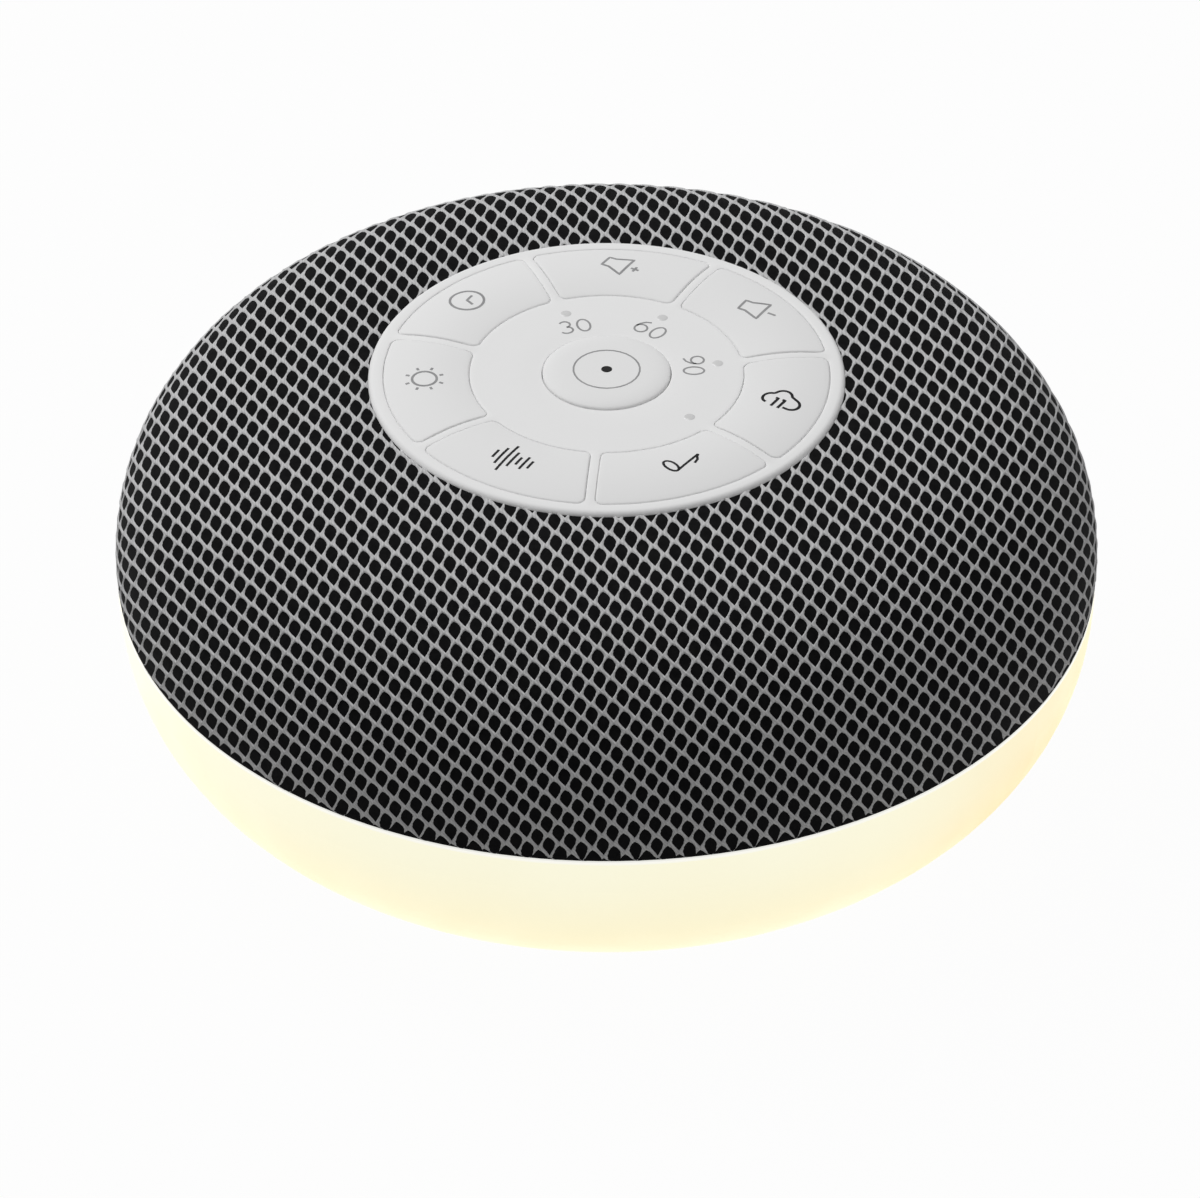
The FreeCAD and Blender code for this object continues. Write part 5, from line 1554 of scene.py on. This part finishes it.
    def prints(self) -> list[bpy.types.Object]:
        """The symbols on the keys, the timer numbers and the power key's ring and dot."""
        made, printer = [], self.printer
        for index, (name, symbol, ink, shift) in enumerate(self.keys):
            mesh = Mesh()
            x, y, _ = polar(self.icon_circle, self.angle(index))
            x, y = x + shift[0], y + shift[1]
            width = printer.stroke * (printer.rain_share if symbol is Symbol.RAIN else 1.0)
            for line in printer.strokes(symbol):
                printer.ribbon(mesh, line, (x, y), 0.0, self.crown_height, width)
            made.append(mesh.piece(f"{symbol.value}_print", ink, name))
        mesh = Mesh()
        for text, angle in zip(("30", "60", "90"), self.lens_angles):
            turn = math.radians(angle)
            x, y, _ = polar(self.number_circle, turn)
            for line in printer.number(text):
                printer.ribbon(
                    mesh, line, (x, y), turn - math.pi / 2 + self.number_turn,
                    lambda _: self.disc_top, printer.fine_stroke)
        made.append(mesh.piece("timer_numbers", GREY_INK, HOUSING))
        top = self.disc_top + self.power_rise
        mesh = Mesh()
        ring = oval(0, 0, self.power_ring, self.power_ring)
        printer.ribbon(mesh, ring, (0.0, 0.0), 0.0, lambda _: top, printer.ring_stroke)
        made.append(mesh.piece("power_ring_print", GREY_INK, "power_key"))
        low, high, dot = top - printer.sunk, top + printer.ink, self.power_dot
        mesh = Mesh()
        mesh.turned([(0.0, low), (dot, low), (dot, high), (0.0, high)], self.dot_sides)
        made.append(mesh.piece("power_dot_print", DARK_INK, "power_key"))
        return made

    def build(self) -> None:
        """Builds the whole panel."""
        report(self.deck(), self.power_key(), self.lenses())
        for index in range(len(self.keys)):
            report(self.ring_key(index))
        report(*self.prints())


# The frame's own nodes

class CarriedNodes:
    """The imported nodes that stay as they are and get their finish."""

    @staticmethod
    def build() -> None:
        """Gives each shown node the finish of its slot."""
        slots = CarriedNodes.slots()
        for name, node in sorted(frame["nodes"].items()):
            slot = slots[name]
            node.data.materials.clear()
            node.data.materials.append(SLOT_FINISH[slot].material())
            log.info("%s: %s", name, slot)

    @staticmethod
    def slots() -> dict[str, str]:
        """The slot of each node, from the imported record."""
        return {entry["node"]: entry["material_slot"] for entry in frame["record"]["subparts"]}


# The studio

@dataclass
class Studio:
    """Pale floor, soft light and the camera at the photograph's angle."""

    distance: float = 1252.4
    target: float = 41.9
    lens: float = 255.0
    sensor: float = 36.0
    clip: Flat = (0.01, 20.0)
    right_shift: float = -0.96
    up_shift: float = -13.8
    floor_size: float = 6.0
    floor_tone: float = 0.5
    floor_fade: float = 0.985
    cloud_scale: float = 3.0
    camera_white: float = 0.97
    world_level: float = 0.25

    @staticmethod
    def aimed(item: bpy.types.Object, place: Vector, aim: Vector) -> None:
        """Stands a camera or a lamp at a place and points it."""
        item.location = place
        item.rotation_euler = (place - aim).to_track_quat("Z", "Y").to_euler()

    def camera(self) -> None:
        """Places the camera."""
        right, up, back = sight(AZIMUTH)
        target = Vector((0.0, 0.0, self.target * MM))
        place = target + back * self.distance * MM
        aim = target + (right * self.right_shift + up * self.up_shift) * MM
        data = bpy.data.cameras.new("camera")
        data.lens = self.lens
        data.sensor_width = self.sensor
        data.clip_start, data.clip_end = self.clip
        camera = linked("camera", data)
        self.aimed(camera, place, aim)
        bpy.context.scene.camera = camera

    def floor(self) -> None:
        """Lays the floor."""
        half = self.floor_size / 2
        data = bpy.data.meshes.new("floor")
        corners = [(-half, -half, 0.0), (half, -half, 0.0), (half, half, 0.0), (-half, half, 0.0)]
        data.from_pydata(corners, [], [(0, 1, 2, 3)])
        floor = linked("floor", data)
        material, nodes = new_material("floor_paper")
        place = nodes.place()
        tone = (self.floor_tone,) * 3
        cloud = nodes.noise(place, self.cloud_scale, 2.0)
        colour = nodes.mixed(cloud, tone, tuple(c * self.floor_fade for c in tone))
        paper = nodes.add("ShaderNodeBsdfDiffuse", None, {"Color": colour})
        white = nodes.add("ShaderNodeEmission", None, {"Color": WHITE, "Strength": 1.0})
        path = nodes.add("ShaderNodeLightPath", output="Is Camera Ray")
        seen = path.math("MAXIMUM", path, nodes.again(path, "Is Glossy Ray"))
        seen = path.math("MAXIMUM", seen, nodes.again(path, "Is Transmission Ray"))
        surface = nodes.add(
            "ShaderNodeMixShader", None, {0: seen * self.camera_white, 1: paper, 2: white})
        nodes.add("ShaderNodeOutputMaterial", None, {"Surface": surface})
        data.materials.append(material)

    def world(self) -> None:
        """Fills the room with soft light, and shows it white."""
        world = bpy.data.worlds.new("studio")
        bpy.context.scene.world = world
        world.use_nodes = True
        world.node_tree.nodes.clear()
        nodes = Nodes(world.node_tree)
        path = nodes.add("ShaderNodeLightPath", output="Is Camera Ray")
        seen = path.math("MAXIMUM", path, nodes.again(path, "Is Transmission Ray"))
        strength = seen * (1.0 - self.world_level) + self.world_level
        light = nodes.add("ShaderNodeBackground", None, {"Color": WHITE, "Strength": strength})
        nodes.add("ShaderNodeOutputWorld", None, {"Surface": light})

    def lamp(self, name: str, right: float, away: float, up: float, size: float, level: float) -> None:
        """Hangs one soft lamp.

        Args:
            name: its name.
            right: its place along the camera's right direction, in metres.
            away: its place away from the camera, in metres.
            up: its height.
            size: the side of its square.
            level: how brightly it lights a white surface that faces it.
        """
        side, _, back = sight(AZIMUTH)
        away_dir = Vector((-back.x, -back.y, 0.0)).normalized()
        place = side * right + away_dir * away + Vector((0.0, 0.0, up))
        data = bpy.data.lights.new(name, "AREA")
        data.shape = "SQUARE"
        data.size = size
        aim = Vector((0.0, 0.0, self.target * MM))
        data.energy = level * math.pi ** 2 * (place - aim).length_squared
        self.aimed(linked(name, data), place, aim)

    def build(self) -> None:
        """Sets up the studio."""
        bpy.context.scene.view_settings.view_transform = "Standard"
        self.camera()
        self.floor()
        self.world()
        self.lamp("top_softbox", right=-0.55, away=0.45, up=1.1, size=0.9, level=0.72)
        self.lamp("side_softbox", right=1.0, away=-0.3, up=0.8, size=0.8, level=0.1)


def main() -> None:
    """Builds the studio and the object."""
    logging.basicConfig(level=logging.INFO, format="%(message)s")
    Studio().build()
    CarriedNodes.build()
    FabricCover().build()
    KeyPanel().build()


if __name__ == "__main__":
    main()
